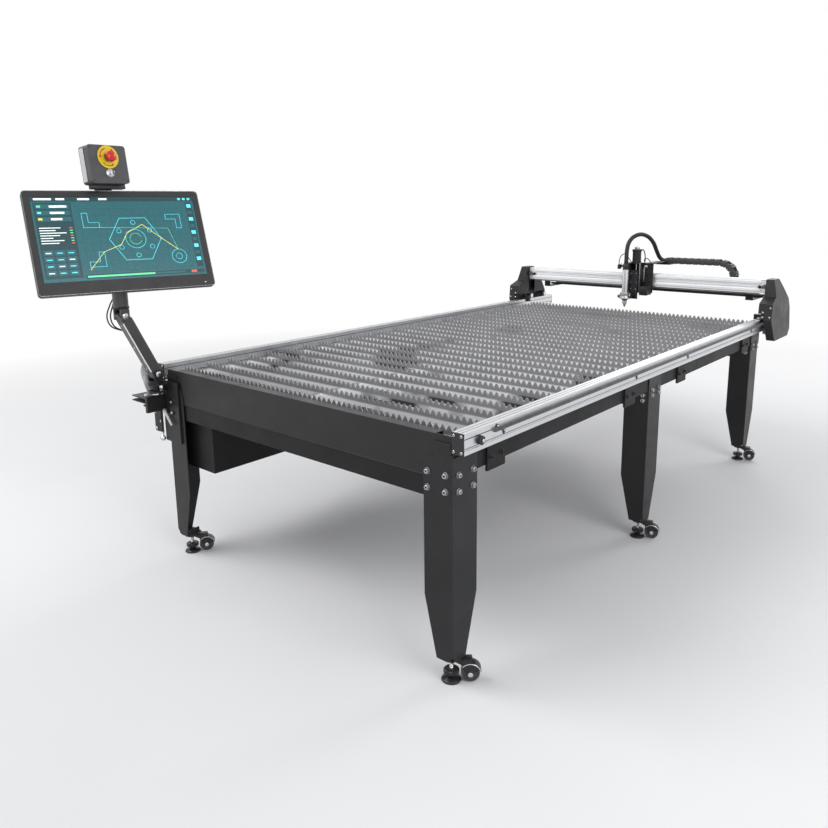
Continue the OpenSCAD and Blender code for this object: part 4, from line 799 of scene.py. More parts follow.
def motors():
    for side, s in (("left", -1), ("right", 1)):
        lo, hi = span("y_motors")
        w, length = MOTOR_W, MOTOR_L
        x, y, z = s * (hi.x - w / 2), (lo.y + hi.y) / 2, hi.z - length
        b = Build(MOTOR, BRIGHT, SOCKET)
        stepper(b, Matrix.Translation((x, y, z)), w, length)
        b.lathe([(0, 2), (4, 2), (4, lo.z - z), (3.4, lo.z - z), (0, lo.z - z)], 24, BRIGHT)
        b.box((-9, -w / 2 + 0.4, length - 24), (9, -w / 2 + 8, length - 12), 0.8)
        replaces = ("y_motors",) if s > 0 else ()
        b.done(f"drive_motor_{side}", "gantry", replaces)
    lo, hi = span("carriage_motors")
    lift = middle("lead_screw")
    b = Build(MOTOR, BRIGHT, SOCKET, BLACK_PLASTIC)
    base = span("lifter_housing")[1].z
    stepper(b, Matrix.Translation((lift.x, lift.y, base)), LIFT_MOTOR_W, hi.z - 16 - base, 15.5)
    b.at()
    pinion = middle("x_pinion")
    front = CARRIAGE_Y
    stepper(b, axes((pinion.x, front, pinion.z), X, Z, -Y), CROSS_MOTOR_W, 54)
    b.at()
    b.tube([(pinion.x, front, pinion.z), (pinion.x, hi.y, pinion.z)], 4, 20, BRIGHT)
    # Cable of the lift motor, held against its back
    x, y, top = lift.x, lift.y, hi.z - 20
    b.tube(smooth_route([(x + 16, y + 12, top - 12), (x + 27, y + 20, top + 2), (x + 36, y + 28, top - 24),
                         (x + 38, y + 30, top - 60), (x + 34, y + 30, top - 84)], 6), 3, 10, BLACK_PLASTIC)
    b.done("carriage_drives", "carriage", ("carriage_motors",))


# ---- Carriage and torch holder ----
def carriage_details():
    y = CARRIAGE_Y
    top = span("carriage_plate")[1].z
    x0, x1 = CARRIAGE_X
    b = Build(COAT, BRIGHT, SOCKET, STEEL_PLATE, BLACK_PLASTIC)
    for dx, dz in ((56, 12), (92, 12), (130, 12), (143, 30), (96, 34), (143, 66), (112, 66), (96, 96), (130, 100)):
        b.cap_screw(facing((x0 + dx, y, top - dz), -Y), 3.6, 3.6, 5)
    # Bright wear strip and spacer plate beside the lifter housing
    house_lo, house_hi = span("lifter_housing")
    b.box((house_hi.x + 1, y - 5, house_lo.z + 62), (house_hi.x + 12, y, house_hi.z - 24), 0.6, STEEL_PLATE)
    b.box((house_hi.x - 1.6, house_lo.y - 0.3, house_lo.z + 2), (house_hi.x + 0.3, house_lo.y + 12, house_hi.z - 2), 0.4,
          STEEL_PLATE)
    b.box((house_hi.x + 4, y - 9, top - 26), (house_hi.x + 30, y, top - 14), 0.8, STEEL_PLATE)
    # Screws of the housing's sides
    for z in (house_lo.z + 14, (house_lo.z + house_hi.z) / 2, house_hi.z - 14):
        for s, x in ((-1, house_lo.x), (1, house_hi.x)):
            b.cap_screw(facing((x, house_lo.y + 24, z), s * X), 2.8, 1.6, 0)
    # Arched cover of the collision sensor with its lead
    sx, sz = x0 - 40, top - 20
    arch = [*arc((0, 0), 17, 10, 170, 14), *arc((0, 0), 14, 170, 10, 14)]
    b.at(axes((sx + 8, y - 2, sz - 2), X, Z, -Y))
    b.prism(arch, 0, 16, 0.5, STEEL_PLATE)
    b.at()
    b.tube(smooth_route([(sx - 12, y - 12, top - 36), (sx - 15, y - 12, top - 8), (sx - 12, y - 10, top + 22),
                         (sx + 2, y - 6, top + 44), (sx + 22, y, top + 44), (sx + 44, y + 4, top + 14), (sx + 56, y + 5, top)], 6),
           2.4, 10, BLACK_PLASTIC)
    b.tube(smooth_route([(x1 - 52, y + 2, top), (x1 - 48, y - 12, top + 22), (x1 - 30, y - 14, top + 26),
                         (x1 - 14, y - 8, top + 8), (x1 - 12, y - 4, top - 14)], 6), 2.6, 10, BLACK_PLASTIC)
    b.done("carriage_fittings", "carriage")


def holder_details():
    torch = middle("torch")
    collar = span("torch_holder")[0].z
    r = (span("torch")[1].x - span("torch")[0].x) / 2 + 9
    b = Build(KNOB_SILVER, BRIGHT, SOCKET, COAT)
    for s, size, z in ((-1, 9, 12), (1, 13, 20)):
        b.at(facing((torch.x + s * (r + (1 if s < 0 else -1)), torch.y, collar + z), s * X))
        b.lathe([(size * 0.5, -2), (size * 0.62, 1), (size, 3), (size + 0.4, 5), (size + 0.4, 11), (size - 0.6, 13.3), (size * 0.5, 13.6),
                 (size * 0.45, 12.6), (0, 12.6)], 80, None, 10, 2.4)
        b.lathe([(0, 12.7), (size * 0.32, 12.7, 6), (size * 0.28, 14, 6), (0, 14)], 24, BRIGHT)
    b.at(Matrix.Translation((torch.x, torch.y, collar)))
    b.lathe([(r - 8.4, -0.3), (r - 0.6, -0.3), (r + 0.5, 0.8), (r + 0.5, 15), (r + 0.1, 16), (r + 0.1, 19), (r + 0.5, 20),
             (r + 0.5, 34.2), (r - 0.6, 35.3), (r - 8.4, 35.3)], 64)
    y = span("lifter_housing")[0].y - 7.4
    lift_x = middle("lead_screw").x
    for dz in (56, 96, 146):
        for s in (-1, 1):
            b.cap_screw(facing((lift_x + s * 15, y, collar + dz), -Y), 2.8, 1.8, 0, BRIGHT)
    b.done("torch_clamp", "lifter")


# ---- Trucks and beam ----
def truck_details():
    b = Build(COVER, BRIGHT, SOCKET, SLOT_DARK, STEEL_PLATE)
    beam_lo, beam_hi = span("gantry_beam")
    hi = span("truck_covers")[1]
    rest_y = REST_Y
    for s in (-1, 1):
        for y, z in ((rest_y - 30, 700), (rest_y + 150, 700), (rest_y - 90, 800), (rest_y + 150, 800), (rest_y + 20, 850)):
            b.cap_screw(facing((s * (hi.x - 2.4), y, z), s * X), 4.2, 2.4, 0, BRIGHT)
        for x, z in ((757, 797), (757, 821), (792, 797), (792, 845)):
            b.cap_screw(facing((s * x, rest_y - 132 + (z - 780) * 8 / 86, z), -Y), 3.6, 2.2, 5, BRIGHT)
        # Screws of the beam's end plate and a bright guide wedge beside the rail
        for y, z in ((rest_y - 4, 915), (rest_y - 4, 966)):
            b.cap_screw(facing((s * beam_hi.x, y, z), -s * X), 2.6, 2.4, 0, BRIGHT)
        # Black screw near each end of the beam's front
        b.cap_screw(facing((s * 696, beam_lo.y, (beam_lo.z + beam_hi.z) / 2 - 3), -Y), 7, 4, 8.6, CASTOR_BODY)
        wedge = [(0, 0), (22, 0), (22, 3), (6, 13), (0, 13)]
        b.at(axes((s * 703, rest_y - 64, 784), Y, Z, X))
        b.prism(wedge, min(0, -s * 6), max(0, -s * 6), 0.6, STEEL_PLATE)
        b.at()
    # Slots of the beam's extrusion: front, top and back
    for z in (beam_lo.z + 5, beam_lo.z + 15, beam_hi.z - 15, beam_hi.z - 5):
        b.box((-beam_hi.x + 1, beam_hi.y - 0.2, z), (beam_hi.x - 1, beam_hi.y + 0.25, z + 0.9), 0, SLOT_DARK)
    for y in (rest_y + 14, rest_y + 34):
        b.box((-beam_hi.x + 1, y, beam_hi.z - 0.2), (beam_hi.x - 1, y + 1.2, beam_hi.z + 0.25), 0, SLOT_DARK)
    for z in (beam_lo.z + 4, beam_lo.z + 33, beam_hi.z - 36, beam_hi.z - 5):
        for s in (-1, 1):
            b.box((s * 702, rest_y - 0.25, z), (s * (beam_hi.x - 1), rest_y + 0.1, z + 0.9), 0, SLOT_DARK)
    for z in (beam_lo.z + 31, beam_hi.z - 32):
        b.box((-702, rest_y - 0.25, z), (702, rest_y + 0.1, z + 0.8), 0, SLOT_DARK)
    b.done("gantry_trim", "gantry")


# ---- Monitor ----
def screen_frame():
    r = joint_axis("monitor_tilt")
    tilt = math.radians(SCREEN_TILT)
    n = Vector((r.y * math.cos(tilt), -r.x * math.cos(tilt), math.sin(tilt)))
    return axes(joint_at("monitor_tilt") + TILT_BACK * n, r, n.cross(r), n)


def monitor_details():
    home = screen_frame()
    w, h = SCREEN_W, SCREEN_H
    b = Build(BLACK_PLASTIC, RIM, SLOT_DARK, BRIGHT, SOCKET, GLOW_WHITE, STEEL_PLATE)
    outline = rounded_rect(w - 2.2, h - 2.2, 11)
    for z, material, r in ((-1.0, RIM, 1.1), (-20.5, BLACK_PLASTIC, 0.8)):
        path = [home @ Vector((x, y, z)) for x, y in outline + outline[:1]]
        b.tube(path, r, 8, material)
    # Step of the bezel round the glass
    inner = [home @ Vector((x, y + 11, -0.7)) for x, y in rounded_rect(w - 43, h - 65, 1.5, 2)]
    b.tube(inner + inner[:1], 0.9, 6)
    b.at(home)
    for x in (200, 214, 228, 242):
        b.box((x - 4, -h / 2 - 0.2, -14), (x + 4, -h / 2 + 2, -8), 0.6)
    b.box((256, -h / 2 + 14, -0.4), (262, -h / 2 + 15.6, 0.3), 0.2, GLOW_WHITE)
    # Back: vents, plate with screws, plug panel
    for k in range(22):
        x = -154 + k * 14.7
        b.box((x, 62, -45.5), (x + 4, 92, -44.4), 0.3, SLOT_DARK)
        b.box((x, -112, -45.5), (x + 4, -94, -44.4), 0.3, SLOT_DARK)
    b.prism([(x, y) for x, y in rounded_rect(118, 118, 8)], -48, -45, 0.7, STEEL_PLATE)
    for sx in (-1, 1):
        for sy in (-1, 1):
            b.cap_screw(home @ axes((sx * 50, sy * 50, -48), X, -Y, -Z), 4, 2.6, 0, BRIGHT)
    b.at(home)
    b.box((-170, -90, -46.5), (-90, -62, -45), 0.6, SLOT_DARK)
    for k in range(4):
        b.box((-164 + k * 19, -84, -48.5), (-151 + k * 19, -69, -46), 0.8)
    b.done("monitor_trim", "monitor")


def screen_picture():
    """A made-up cutting program: grid, nested plates with holes, cutting paths, readouts and buttons, no writing."""
    home = screen_frame()
    b = Build(GLOW_PANEL, GLOW_DEEP, GLOW_WHITE, GLOW_CYAN, GLOW_YELLOW, GLOW_GREEN, GLOW_RED)
    b.at(home)
    w, h = SCREEN_W - 46, SCREEN_H - 68

    def block(x0, y0, x1, y1, material, layer=1):
        """A flat field; places are shares of the picture, from its lower left corner."""
        z = -0.98 + 0.05 * layer
        b.box(((x0 - 0.5) * w, (y0 - 0.5) * h + 11, z), ((x1 - 0.5) * w, (y1 - 0.5) * h + 11, z + 0.04), 0, material)

    def line(points, material, width=1.3, close=False):
        """A drawn line with its points in mm from the drawing's centre, to the right of the picture's middle."""
        p = [Vector((x + 0.08 * w, y + 5, 0)) for x, y in points]
        if close:
            p.append(p[0])
        for a, c in zip(p, p[1:]):
            d = (c - a)
            if d.length < 1e-6:
                continue
            side = Vector((-d.y, d.x, 0)).normalized() * width / 2
            over = d.normalized() * width / 2
            quad = [a - side - over, c - side + over, c + side + over, a + side - over]
            b.prism([(v.x, v.y) for v in quad], -0.80, -0.72, 0, material)

    block(0, 0, 1, 1, GLOW_PANEL, 0)
    block(0, 0.945, 1, 1, GLOW_DEEP)
    for k, width in enumerate((0.10, 0.05, 0.07, 0.05)):
        block(0.02 + k * 0.125, 0.962, 0.02 + k * 0.125 + width, 0.984, GLOW_WHITE, 2)
    for k in range(3):
        block(0.90 + k * 0.032, 0.96, 0.918 + k * 0.032, 0.986, GLOW_CYAN, 2)
    # Left column: readouts, lists and buttons
    block(0.012, 0.04, 0.225, 0.93, GLOW_DEEP)
    for k in range(3):
        block(0.022, 0.86 - k * 0.075, 0.215, 0.912 - k * 0.075, GLOW_PANEL, 2)
        block(0.03, 0.875 - k * 0.075, 0.052, 0.898 - k * 0.075, (GLOW_GREEN, GLOW_CYAN, GLOW_YELLOW)[k], 3)
        block(0.10, 0.874 - k * 0.075, 0.10 + 0.1 - 0.018 * k, 0.898 - k * 0.075, GLOW_WHITE, 3)
    for k in range(7):
        block(0.024, 0.628 - k * 0.030, 0.024 + (0.12, 0.09, 0.15, 0.11, 0.07, 0.13, 0.10)[k], 0.638 - k * 0.030, GLOW_WHITE, 2)
        block(0.195, 0.628 - k * 0.030, 0.212, 0.638 - k * 0.030, GLOW_GREEN if k % 3 else GLOW_RED, 2)
    for row in range(4):
        for col in range(3):
            x, y = 0.024 + col * 0.064, 0.31 - row * 0.078
            block(x, y, x + 0.056, y + 0.062, GLOW_PANEL, 2)
            block(x + 0.012, y + 0.022, x + 0.044, y + 0.034, GLOW_CYAN if (row + col) % 3 else GLOW_WHITE, 3)
    # Right strip of small tools
    block(0.945, 0.10, 0.988, 0.93, GLOW_DEEP)
    for k in range(9):
        block(0.952, 0.86 - k * 0.085, 0.981, 0.905 - k * 0.085, GLOW_PANEL if k % 2 else GLOW_CYAN, 2)
    # Bottom bar with progress
    block(0.24, 0.022, 0.988, 0.07, GLOW_DEEP)
    block(0.25, 0.036, 0.66, 0.056, GLOW_GREEN, 2)
    block(0.66, 0.036, 0.86, 0.056, GLOW_PANEL, 2)
    block(0.90, 0.032, 0.935, 0.060, GLOW_RED, 2)
    # Grid of the drawing field
    for k in range(15):
        line([(-170 + k * 25, -112), (-170 + k * 25, 112)], GLOW_DEEP, 0.5)
    for k in range(10):
        line([(-170, -112 + k * 24.9), (180, -112 + k * 24.9)], GLOW_DEEP, 0.5)
    # A six-sided flange with holes, a ring and three brackets around it
    line(arc((0, 0), 88, 0, 360, 6), GLOW_CYAN, 1.6)
    line(arc((0, 0), 34, 0, 360, 40), GLOW_CYAN, 1.4)
    line(arc((0, 0), 20, 20, 340, 30), GLOW_GREEN, 1.2)
    for k in range(6):
        a = math.radians(60 * k + 30)
        line(arc((60 * math.cos(a), 60 * math.sin(a)), 7.5, 0, 360, 16), GLOW_CYAN, 1.3)
    for cx, cy, turn in ((-138, 70, 0), (-138, -70, 90), (142, 62, 180)):
        c, s = math.cos(math.radians(turn)), math.sin(math.radians(turn))
        corner = [(-26, -26), (26, -26), (26, -8), (-8, -8), (-8, 26), (-26, 26)]
        line([(cx + c * x - s * y, cy + s * x + c * y) for x, y in corner], GLOW_CYAN, 1.3, True)
    line(arc((140, -70), 26, 0, 360, 28), GLOW_CYAN, 1.4)
    line(arc((140, -70), 11, 0, 360, 20), GLOW_CYAN, 1.2)
    line([(-164, -104), (-112, -44), (-52, -20), (-26, 22)], GLOW_YELLOW, 1.5)
    line([(-26, 22), (30, 52), (88, 0), (140, -44)], GLOW_YELLOW, 1.5)
    line([(140, -44), (118, 36), (-112, 44)], GLOW_GREEN, 1.0)
    for x, y in ((-164, -104), (88, 0), (-26, 22)):
        line([(x - 5, y), (x + 5, y)], GLOW_RED, 1.2)
        line([(x, y - 5), (x, y + 5)], GLOW_RED, 1.2)
    b.done("screen_picture", "monitor")


# ---- Emergency stop box ----
def stop_frame():
    n = -joint_axis("stop_press")
    r = Z.cross(n).normalized()
    return axes(joint_at("key_turn") + KEY_DROP * n.cross(r), r, n.cross(r), n)


def stop_box_details():
    home = stop_frame()
    b = Build(YELLOW, RED, BRIGHT, SOCKET, GREY_BOX)
    # Wide foot under the box and the pale side of its rear half
    b.at(home)
    b.box((-58, -79, -50), (64, -63, -22), 1.5, BLACK_PLASTIC)
    b.box((-70.6, -56, -52), (-69.8, 56, -28), 0.3, RIM)
    b.at(home @ Matrix.Translation((0, BUTTON_RISE, 0)))
    b.lathe([(14.2, 1.8), (38.6, 1.8), (38.9, 2.2), (38.4, 2.7), (14.2, 2.7)], 72)
    for k in range(3):
        a0 = 90 + 120 * k
        band = arc((0, 0), 31, a0 + 14, a0 + 82, 12) + arc((0, 0), 27.5, a0 + 82, a0 + 14, 12)
        b.prism(band, 2.7, 2.95, 0, RED)
        tip = math.radians(a0 + 98)
        low = math.radians(a0 + 82)
        head = [(24 * math.cos(low), 24 * math.sin(low)), (34.5 * math.cos(low), 34.5 * math.sin(low)),
                (29 * math.cos(tip), 29 * math.sin(tip))]
        b.prism(head, 2.7, 2.95, 0, RED)
    b.at(home)
    for sx in (-1, 1):
        for sy in (-1, 1):
            b.cap_screw(home @ Matrix.Translation((sx * 61, sy * 55, -0.6)), 3.4, 1.0, 0, BLACK_PLASTIC)
    b.at(home @ Matrix.Translation((0, -KEY_DROP, 0)))
    b.lathe([(12.2, 0), (14, 0.4), (14, 1.8), (12.4, 2.4)], 48, BRIGHT)
    b.done("stop_box_ring", "monitor")

    b = Build(RED, SLOT_DARK)
    b.at(home @ Matrix.Translation((0, BUTTON_RISE, 0)))
    b.lathe([(0, -6), (5.9, -6), (5.9, 14.2), (9, 14.3)], 32, SLOT_DARK)
    b.lathe([(8, 14.4), (15, 14.6), (17.8, 15.9), (18.5, 18), (18.4, 21), (17.2, 23.6), (14.2, 25.8), (9.5, 27.2),
             (5, 27.8), (0, 28)], 96, RED)
    b.done("stop_mushroom", "stop_button", ("stop_button",), 50)

    b = Build(BRIGHT, SLOT_DARK)
    b.at(home @ Matrix.Translation((0, -KEY_DROP, 0)))
    b.lathe([(0, -14), (9, -14), (9, 0.4), (11.6, 0.4), (12, 0.9), (12, 3.4), (11.2, 4.3), (8.8, 4.3), (8.8, 5.4), (8.2, 6), (0, 6)], 48)
    b.box((-1.2, -4.5, 5.8), (1.2, 4.5, 6.2), 0.1, SLOT_DARK)
    bow = [(-3, 0), (3, 0), (3, 5), *arc((0, 11), 7, -50, 230, 18), (-3, 5)]
    b.at(home @ Matrix.Translation((0, -KEY_DROP, 6)) @ axes((-1, 0, 0), Y, Z, X))
    b.prism(bow, 0, 2, 0.3)
    b.done("stop_key", "key_switch", ("key_switch",))


# ---- Arm and bracket ----
def arm_details():
    base, elbow = joint_at("arm_pitch"), joint_at("post_level")
    along = (elbow - base).normalized()
    reach = (elbow - base).length
    home = axes(base, X, along.cross(X), along)
    b = Build(COAT, RIM, BRIGHT, SOCKET)
    b.at(home)
    # Painted highlights along the two outer corners, as bright tubes, and the screws of the cover
    for s, r in ((-1, 1.2), (1, 2.3)):
        b.tube([(s * 18.4, -17.9, 22), (s * 18.4, -17.9, reach - 22)], r, 12, BEAM if s > 0 else RIM)
    for z in (34, reach / 2, reach - 34):
        b.cap_screw(home @ axes((0, -19, z), X, Z, -Y), 3.6, 2.2, 0, BRIGHT)
        b.cap_screw(home @ axes((0, 23, z), X, -Z, Y), 3.6, 2.2, 0, BRIGHT)
    b.done("arm_link_highlights_and_screws", "arm_link")

    for name, body, centre in (("arm_pivot_nuts", "arm_link", base), ("elbow_nuts", "arm_post", elbow)):
        b = Build(BRIGHT, SOCKET)
        for s in (-1, 1):
            b.at(facing(centre + s * 27 * X, s * X))
            b.lathe([(6.1, -0.6), (11, -0.6), (11, 0.9), (10.4, 1.3), (8.6, 1.3, 6), (8.6, 4.4, 6), (7.6, 5), (4.6, 5),
                     (4.4, 5.8), (0, 5.8)], 24)
        b.done(name, body)

    # Leads down the left of the arm, in clips, with a loop at the elbow, into the link above the rail's end
    x = base.x - 33
    entries = (60, 44)
    b = Build(BLACK_PLASTIC)
    for up in entries:
        b.at(facing(base + along * up - 19 * X, -X))
        b.lathe([(2.7, 0), (5.4, 0), (5.4, 1.6), (4.2, 2.6), (2.7, 2.6)], 32)
    b.done("lead_grommets", "arm_link")
    post_top = joint_at("monitor_swivel").z
    out = 22
    for k, dx in enumerate((0, -7)):
        post = [(x + 4 + dx, elbow.y, post_top - 30), (x + 4 + dx, elbow.y - 1, elbow.z + 150), (x + dx, elbow.y, elbow.z + 70)]
        loop = [post[-1], (x - 3 + dx, elbow.y - 12 - 8 * k, elbow.z + 36), (x - 8 + dx, elbow.y - out - 10 * k, elbow.z - 6),
                (x - 5 + dx, elbow.y - out + 12 - 8 * k, elbow.z - 44), tuple(base + along * (reach - 74) + Vector((x + dx - base.x, 0, 0)))]
        aside, entry = x + dx - base.x, entries[k]
        low = ((reach / 2, aside), (entry + 26, aside), (entry + 9, aside + 3), (entry + 1, -25), (entry, -17))
        link = [loop[-1], *[tuple(base + along * up + left * X) for up, left in low]]
        pairs = (("post", "arm_post", post), ("link", "arm_link", link))
        for label, body, route in pairs:
            b = Build(HOSE)
            b.tube(smooth_route(route, 8), 2.6, 12)
            b.done(f"screen_lead_{label}_{k + 1}", body, (), 60)
        b = Build(HOSE)
        b.tube(smooth_route(loop, 10), 2.6, 12)
        b.done(f"screen_lead_elbow_{k + 1}", ("arm_link", "arm_post", loop[-1], loop[0]), (), 60)
    b = Build(BLACK_PLASTIC)
    for z in (elbow.z + 80, elbow.z + 150, post_top - 40):
        b.box((x - 10, elbow.y - 5, z - 5), (x + 12, elbow.y + 5, z + 5), 1.6)
    b.done("post_clips", "arm_post")
    b = Build(BLACK_PLASTIC)
    for share in (96, reach / 2 + 6, reach - 84):
        b.at(home @ Matrix.Translation((0, 0, share)))
        b.box((x - 10 - base.x, -5, -5), (-19, 5, 5), 1.6)
    b.done("link_clips", "arm_link")


def bracket_details():
    b = Build(COAT, STEEL_PLATE, BRIGHT, SOCKET, BLACK_PLASTIC)
    # Pale guard plate that stands on the tray's upper lug, with a rolled bright edge
    pin = joint_at("tray_swing")
    lug = span("keyboard_tray")[1].z + 10
    edge = [(18, 1), (7, 16), (-4, 55), (-10, 77), (-12.5, 99), (-6.5, 121)]
    guard = edge + [(2, 123), (9, 117), (15, 95), (26, 71), (40, 47), (56, 17), (53, 1)]
    b.at(axes((pin.x - 3, pin.y, lug), Y, Z, X))
    b.prism(guard[::-1], -1.6, 0, 0.5, PALE_PLATE)
    b.tube(smooth_route([(y, z, -0.6) for y, z in edge], 5), 2.0, 10, PALE_PLATE)
    b.box((22, 0, -1.6), (42, 3, 24), 0.8, STEEL_PLATE)
    # Chrome ball knob and clamp lever
    b.at(Matrix.Translation((-741, -10, 480)))
    b.lathe([(0, -12.4), *[(12.4 * math.cos(math.radians(a)), 12.4 * math.sin(math.radians(a))) for a in range(-75, 61, 15)],
             (5.4, 12.4), (4.4, 14), (4.4, 26), (0, 26)], 48, BRIGHT)
    lever = (-709, -4, 598)
    b.at(facing(lever, -Y))
    b.lathe([(0, 0), (11, 0), (11, 7), (9.8, 8.4), (5, 8.4)], 40, BLACK_PLASTIC)
    arm = [*arc((0, 0), 9, 90, 270, 10), (62, -6), *arc((64, 0), 6.8, -60, 60, 6), (62, 6)]
    b.at(facing(lever, -Y) @ Matrix.Translation((0, 0, 7)) @ Matrix.Rotation(math.radians(-48), 4, "Z"))
    b.prism(arm, 0, 6, 1.8, KNOB_SILVER)
    b.cap_screw(facing(lever, -Y) @ Matrix.Translation((0, 0, 12.8)), 4, 2, 0, BRIGHT)
    # Cap screws of the bracket on the leg
    for z in (595, 638):
        b.cap_screw(facing((-665, -9.6, z), -Y), 5.2, 2.4, 0, BRIGHT)
    # Screws of the bearing plates and bushes round the pivot
    pivot = joint_at("arm_swivel")
    for z in (675, 705):
        for s in (-1, 1):
            b.cap_screw(facing((pivot.x + s * 29, -14, z + 4), s * X), 2.2, 1.2, 0, CASTOR_BODY)
    b.at(Matrix.Translation((pivot.x, pivot.y, 0)))
    b.lathe([(12.6, 668), (17, 668), (17, 673.5), (16, 675), (12.6, 675)], 48, BRIGHT)
    b.at()
    # Screws of the hanging plate and the keyboard tray's pivot nut
    for x, z in ((-790, 510), (-790, 580), (-752, 545)):
        b.cap_screw(facing((x, -6, z), -Y), 4, 3, 6.5, BRIGHT)
    b.at(Matrix.Translation((pin.x, pin.y, lug)))
    b.lathe([(0, 0), (9, 0), (9, 1.6), (7.4, 1.6, 6), (7.4, 6, 6), (6.6, 6.6), (0, 6.6)], 24, BRIGHT)
    b.done("bracket_fittings", "table")

    lo, hi = span("keyboard_tray")
    b = Build(RUBBER, COAT, SLOT_DARK)
    b.box((lo.x + 4, lo.y + 4, lo.z + 4), (hi.x - 26, hi.y - 20, lo.z + 6.2), 0.9)
    for z in (lo.z + 2, hi.z - 2):
        b.tube([(lo.x + 1.8, lo.y + 2, z), (lo.x + 1.8, hi.y - 2, z)], 1.8, 8, COAT)
        b.tube([(lo.x + 2, lo.y + 1.8, z), (hi.x - 10, lo.y + 1.8, z)], 1.8, 8, COAT)
    for k in range(5):
        b.box((lo.x + 14 + k * 14, lo.y + 16, hi.z - 0.3), (lo.x + 20 + k * 14, hi.y - 22, hi.z - 0.05), 0, SLOT_DARK)
    b.done("tray_mat", "keyboard_tray")


def post_details():
    elbow, top = joint_at("post_level"), joint_at("monitor_swivel").z
    b = Build(COAT, RIM, BRIGHT, SOCKET)
    b.at(Matrix.Translation((elbow.x, elbow.y, 0)))
    b.lathe([(27.2, elbow.z + 26), (29, elbow.z + 27), (29, elbow.z + 33), (27.2, elbow.z + 35)], 64)
    b.lathe([(27.1, top - 9), (28.4, top - 8), (28.4, top - 1.5), (27.1, top - 0.8)], 64, RIM)
    b.done("post_rings", "arm_post")
    b = Build(BLACK_PLASTIC, BRIGHT, SOCKET)
    # Clamp lever on the collar that holds the monitor's turn
    b.at(facing((elbow.x, elbow.y - 30, top + 20), -Y))
    b.lathe([(0, -1), (8, -1), (8, 7), (7, 8), (0, 8)], 40)
    b.at(facing((elbow.x, elbow.y - 34, top + 20), -Y) @ Matrix.Rotation(math.radians(-60), 4, "Z"))
    b.prism([*arc((0, 0), 6, 90, 270, 10), (30, -3.4), *arc((32, 0), 3.8, -60, 60, 6), (30, 3.4)], 0, 5, 1.4)
    b.done("swivel_lever", "monitor_mount")


# ---- Cabinet ----
def cabinet_details():
    door_lo, door_hi = span("cabinet_door")
    b = Build(COAT, SLOT_DARK, BRIGHT, SOCKET)
    x = -703
    for k in range(9):
        z = 420 + k * 13
        b.at(axes((x, 480, z), -Y, Z, -X))
        b.prism([(0, 0), (180, 0), (176, 7), (4, 7)], 0, 3.2, 1.0)
        b.box((6, -2.6, 0), (174, -0.2, 0.6), 0, SLOT_DARK)
    b.at()
    b.tube([(x, door_lo.y + 2, door_lo.z + 2), (x, door_lo.y + 2, door_hi.z - 2)], 1.1, 8)
    b.tube([(x, door_lo.y + 2, door_lo.z + 2), (x, door_hi.y - 22, door_lo.z + 2)], 1.1, 8)
    b.done("door_louvres", "cabinet_door")
    b = Build(BLACK_PLASTIC, BRIGHT, SOCKET, SLOT_DARK)
    gx, gz = in_table(frame["record"]["mounts"][2]["pos_m"]).x, in_table(frame["record"]["mounts"][2]["pos_m"]).z
    y = 643
    b.at(facing((gx, y, gz), Y))
    b.lathe([(16.4, 0), (24.5, 0, 6), (24.5, 6, 6), (22.6, 7.4), (21.6, 7.4), (21.6, 12), (19, 13.8), (16.4, 13.8)], 48)
    b.at()
    for z in (390, 590):
        for gx2 in (-660, -520):
            b.cap_screw(facing((gx2, y, z), Y), 3.6, 2.4, 6, BRIGHT)
    for k in range(7):
        b.box((-650 + k * 14, y - 0.4, 500), (-644 + k * 14, y + 0.4, 560), 0.2, SLOT_DARK)
        b.box((-482 + 1.6, 240 + k * 34, 440), (-480 + 0.5, 248 + k * 34, 560), 0.2, SLOT_DARK)
    b.done("cabinet_fittings", "table")


# ---- Tray and bed ----
def bed_details():
    b = Build(STEEL_PLATE, SLOT_DARK)
    drain = frame["record"]["mounts"][1]
    at = in_table(drain["pos_m"])
    b.at(Matrix.Translation((at.x, at.y, 0)))
    lo, hi = span("slag_tray")
    b.lathe([(15.6, lo.z + 4), (17.4, lo.z + 4.6), (17.4, lo.z + 7), (15.6, lo.z + 8), (15.6, lo.z + 14), (17, lo.z + 15), (17, lo.z + 20), (15.6, lo.z + 21)], 48)
    b.at()
    # Stiffening folds across the tray's underside
    for k in range(6):
        y = 300 + k * 420
        b.box((lo.x + 20, y, 636), (at.x - 40 if abs(y - at.y) < 60 else hi.x - 20, y + 22, 640.2), 1.4)
    b.done("tray_folds", "table")


def panel_details():
    lo, hi = span("front_panel")
    b = Build(COAT, SLOT_DARK)
    y = lo.y
    # Rolled lower and upper edge of the front sheet
    b.tube([(-640, y + 0.6, lo.z + 1), (640, y + 0.6, lo.z + 1)], 1.5, 10)
    b.tube([(-700, y + 1.2, hi.z - 1), (700, y + 1.2, hi.z - 1)], 1.5, 10)
    b.done("panel_edges", "table")


frame_bolts()
rail_details()
leg_details()
for number in range(1, 7):
    castor(number)
levelling_feet()
chain()
torch()
torch_lead()
motors()
carriage_details()
holder_details()
truck_details()
monitor_details()
screen_picture()
stop_box_details()
arm_details()
bracket_details()
post_details()
cabinet_details()
bed_details()
panel_details()


# ---- Floor, world and lamps ----
def seen_rays(tree):
    """1 for rays that show a background: camera, glossy and transmission."""
    path = tree.nodes.new("ShaderNodeLightPath")
    total = path.outputs["Is Camera Ray"]
    for name in ("Is Glossy Ray", "Is Transmission Ray"):
        m = tree.nodes.new("ShaderNodeMath")
        m.operation = "MAXIMUM"
        tree.links.new(total, m.inputs[0])
        tree.links.new(path.outputs[name], m.inputs[1])
        total = m.outputs[0]
    return total


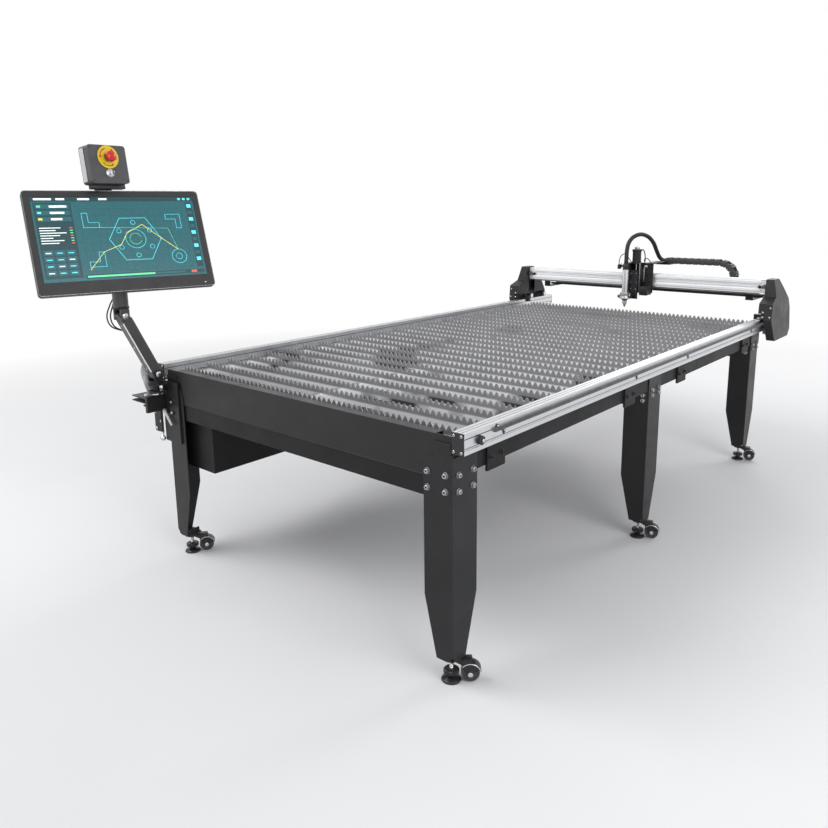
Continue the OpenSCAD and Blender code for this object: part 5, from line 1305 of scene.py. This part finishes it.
def make_floor():
    """A pale floor that fades to plain white away from the object."""
    mesh = bpy.data.meshes.new("floor")
    half = 40
    mesh.from_pydata([(-half, -half, 0), (half, -half, 0), (half, half, 0), (-half, half, 0)], [], [(0, 1, 2, 3)])
    floor = bpy.data.objects.new("floor", mesh)
    bpy.context.scene.collection.objects.link(floor)
    m = Nodes("floor_paper")
    m.link(m.mix(m.spread(m.noise(0.6, 3), 0, 1), (0.78, 0.78, 0.78), (0.82, 0.82, 0.82)), m.shader.inputs["Base Color"])
    m.shader.inputs["Roughness"].default_value = 0.9
    reach = m.add("ShaderNodeVectorMath", operation="LENGTH")
    m.link(m.coord, reach.inputs[0])
    away = m.spread(reach.outputs["Value"], 0, 1, (2.2, 5.5))
    fade = m.add("ShaderNodeMath", operation="MULTIPLY")
    m.link(away, fade.inputs[0])
    m.link(seen_rays(m.tree), fade.inputs[1])
    white = m.add("ShaderNodeEmission")
    mix = m.add("ShaderNodeMixShader")
    m.link(fade.outputs[0], mix.inputs[0])
    m.link(m.shader.outputs[0], mix.inputs[1])
    m.link(white.outputs[0], mix.inputs[2])
    m.link(mix.outputs[0], m.tree.nodes["Material Output"].inputs["Surface"])
    floor.data.materials.append(m.mat)
    floor.location.z = -0.0005


def make_world():
    world = bpy.data.worlds.new("studio")
    bpy.context.scene.world = world
    world.use_nodes = True
    tree = world.node_tree
    tree.nodes.clear()
    out = tree.nodes.new("ShaderNodeOutputWorld")
    mix = tree.nodes.new("ShaderNodeMixShader")
    light, seen = tree.nodes.new("ShaderNodeBackground"), tree.nodes.new("ShaderNodeBackground")
    light.inputs["Color"].default_value = (0.93, 0.95, 1, 1)
    light.inputs["Strength"].default_value = 0.45
    seen.inputs["Color"].default_value = (1, 1, 1, 1)
    seen.inputs["Strength"].default_value = 1
    tree.links.new(seen_rays(tree), mix.inputs[0])
    tree.links.new(light.outputs[0], mix.inputs[1])
    tree.links.new(seen.outputs[0], mix.inputs[2])
    tree.links.new(mix.outputs[0], out.inputs["Surface"])


def lamp(name, at, aim, size, watts, tone=(1, 1, 1)):
    data = bpy.data.lights.new(name, "AREA")
    data.shape = "RECTANGLE"
    data.size, data.size_y = size
    data.energy = watts
    data.color = tone
    o = bpy.data.objects.new(name, data)
    bpy.context.scene.collection.objects.link(o)
    o.location = at
    o.rotation_mode = "QUATERNION"
    o.rotation_quaternion = (Vector(aim) - Vector(at)).to_track_quat("-Z", "Y")


bpy.context.scene.view_settings.view_transform = "Standard"
make_floor()
make_world()
lamp("key", (-2.2, -3.2, 4.2), (0, -0.3, 0.6), (3.5, 2.5), 150)
lamp("fill", (4.2, -1.5, 2.8), (0, 0, 0.6), (3, 3), 90)
lamp("back", (0.5, 4.8, 3.6), (0, 0.6, 0.8), (5, 2), 120)
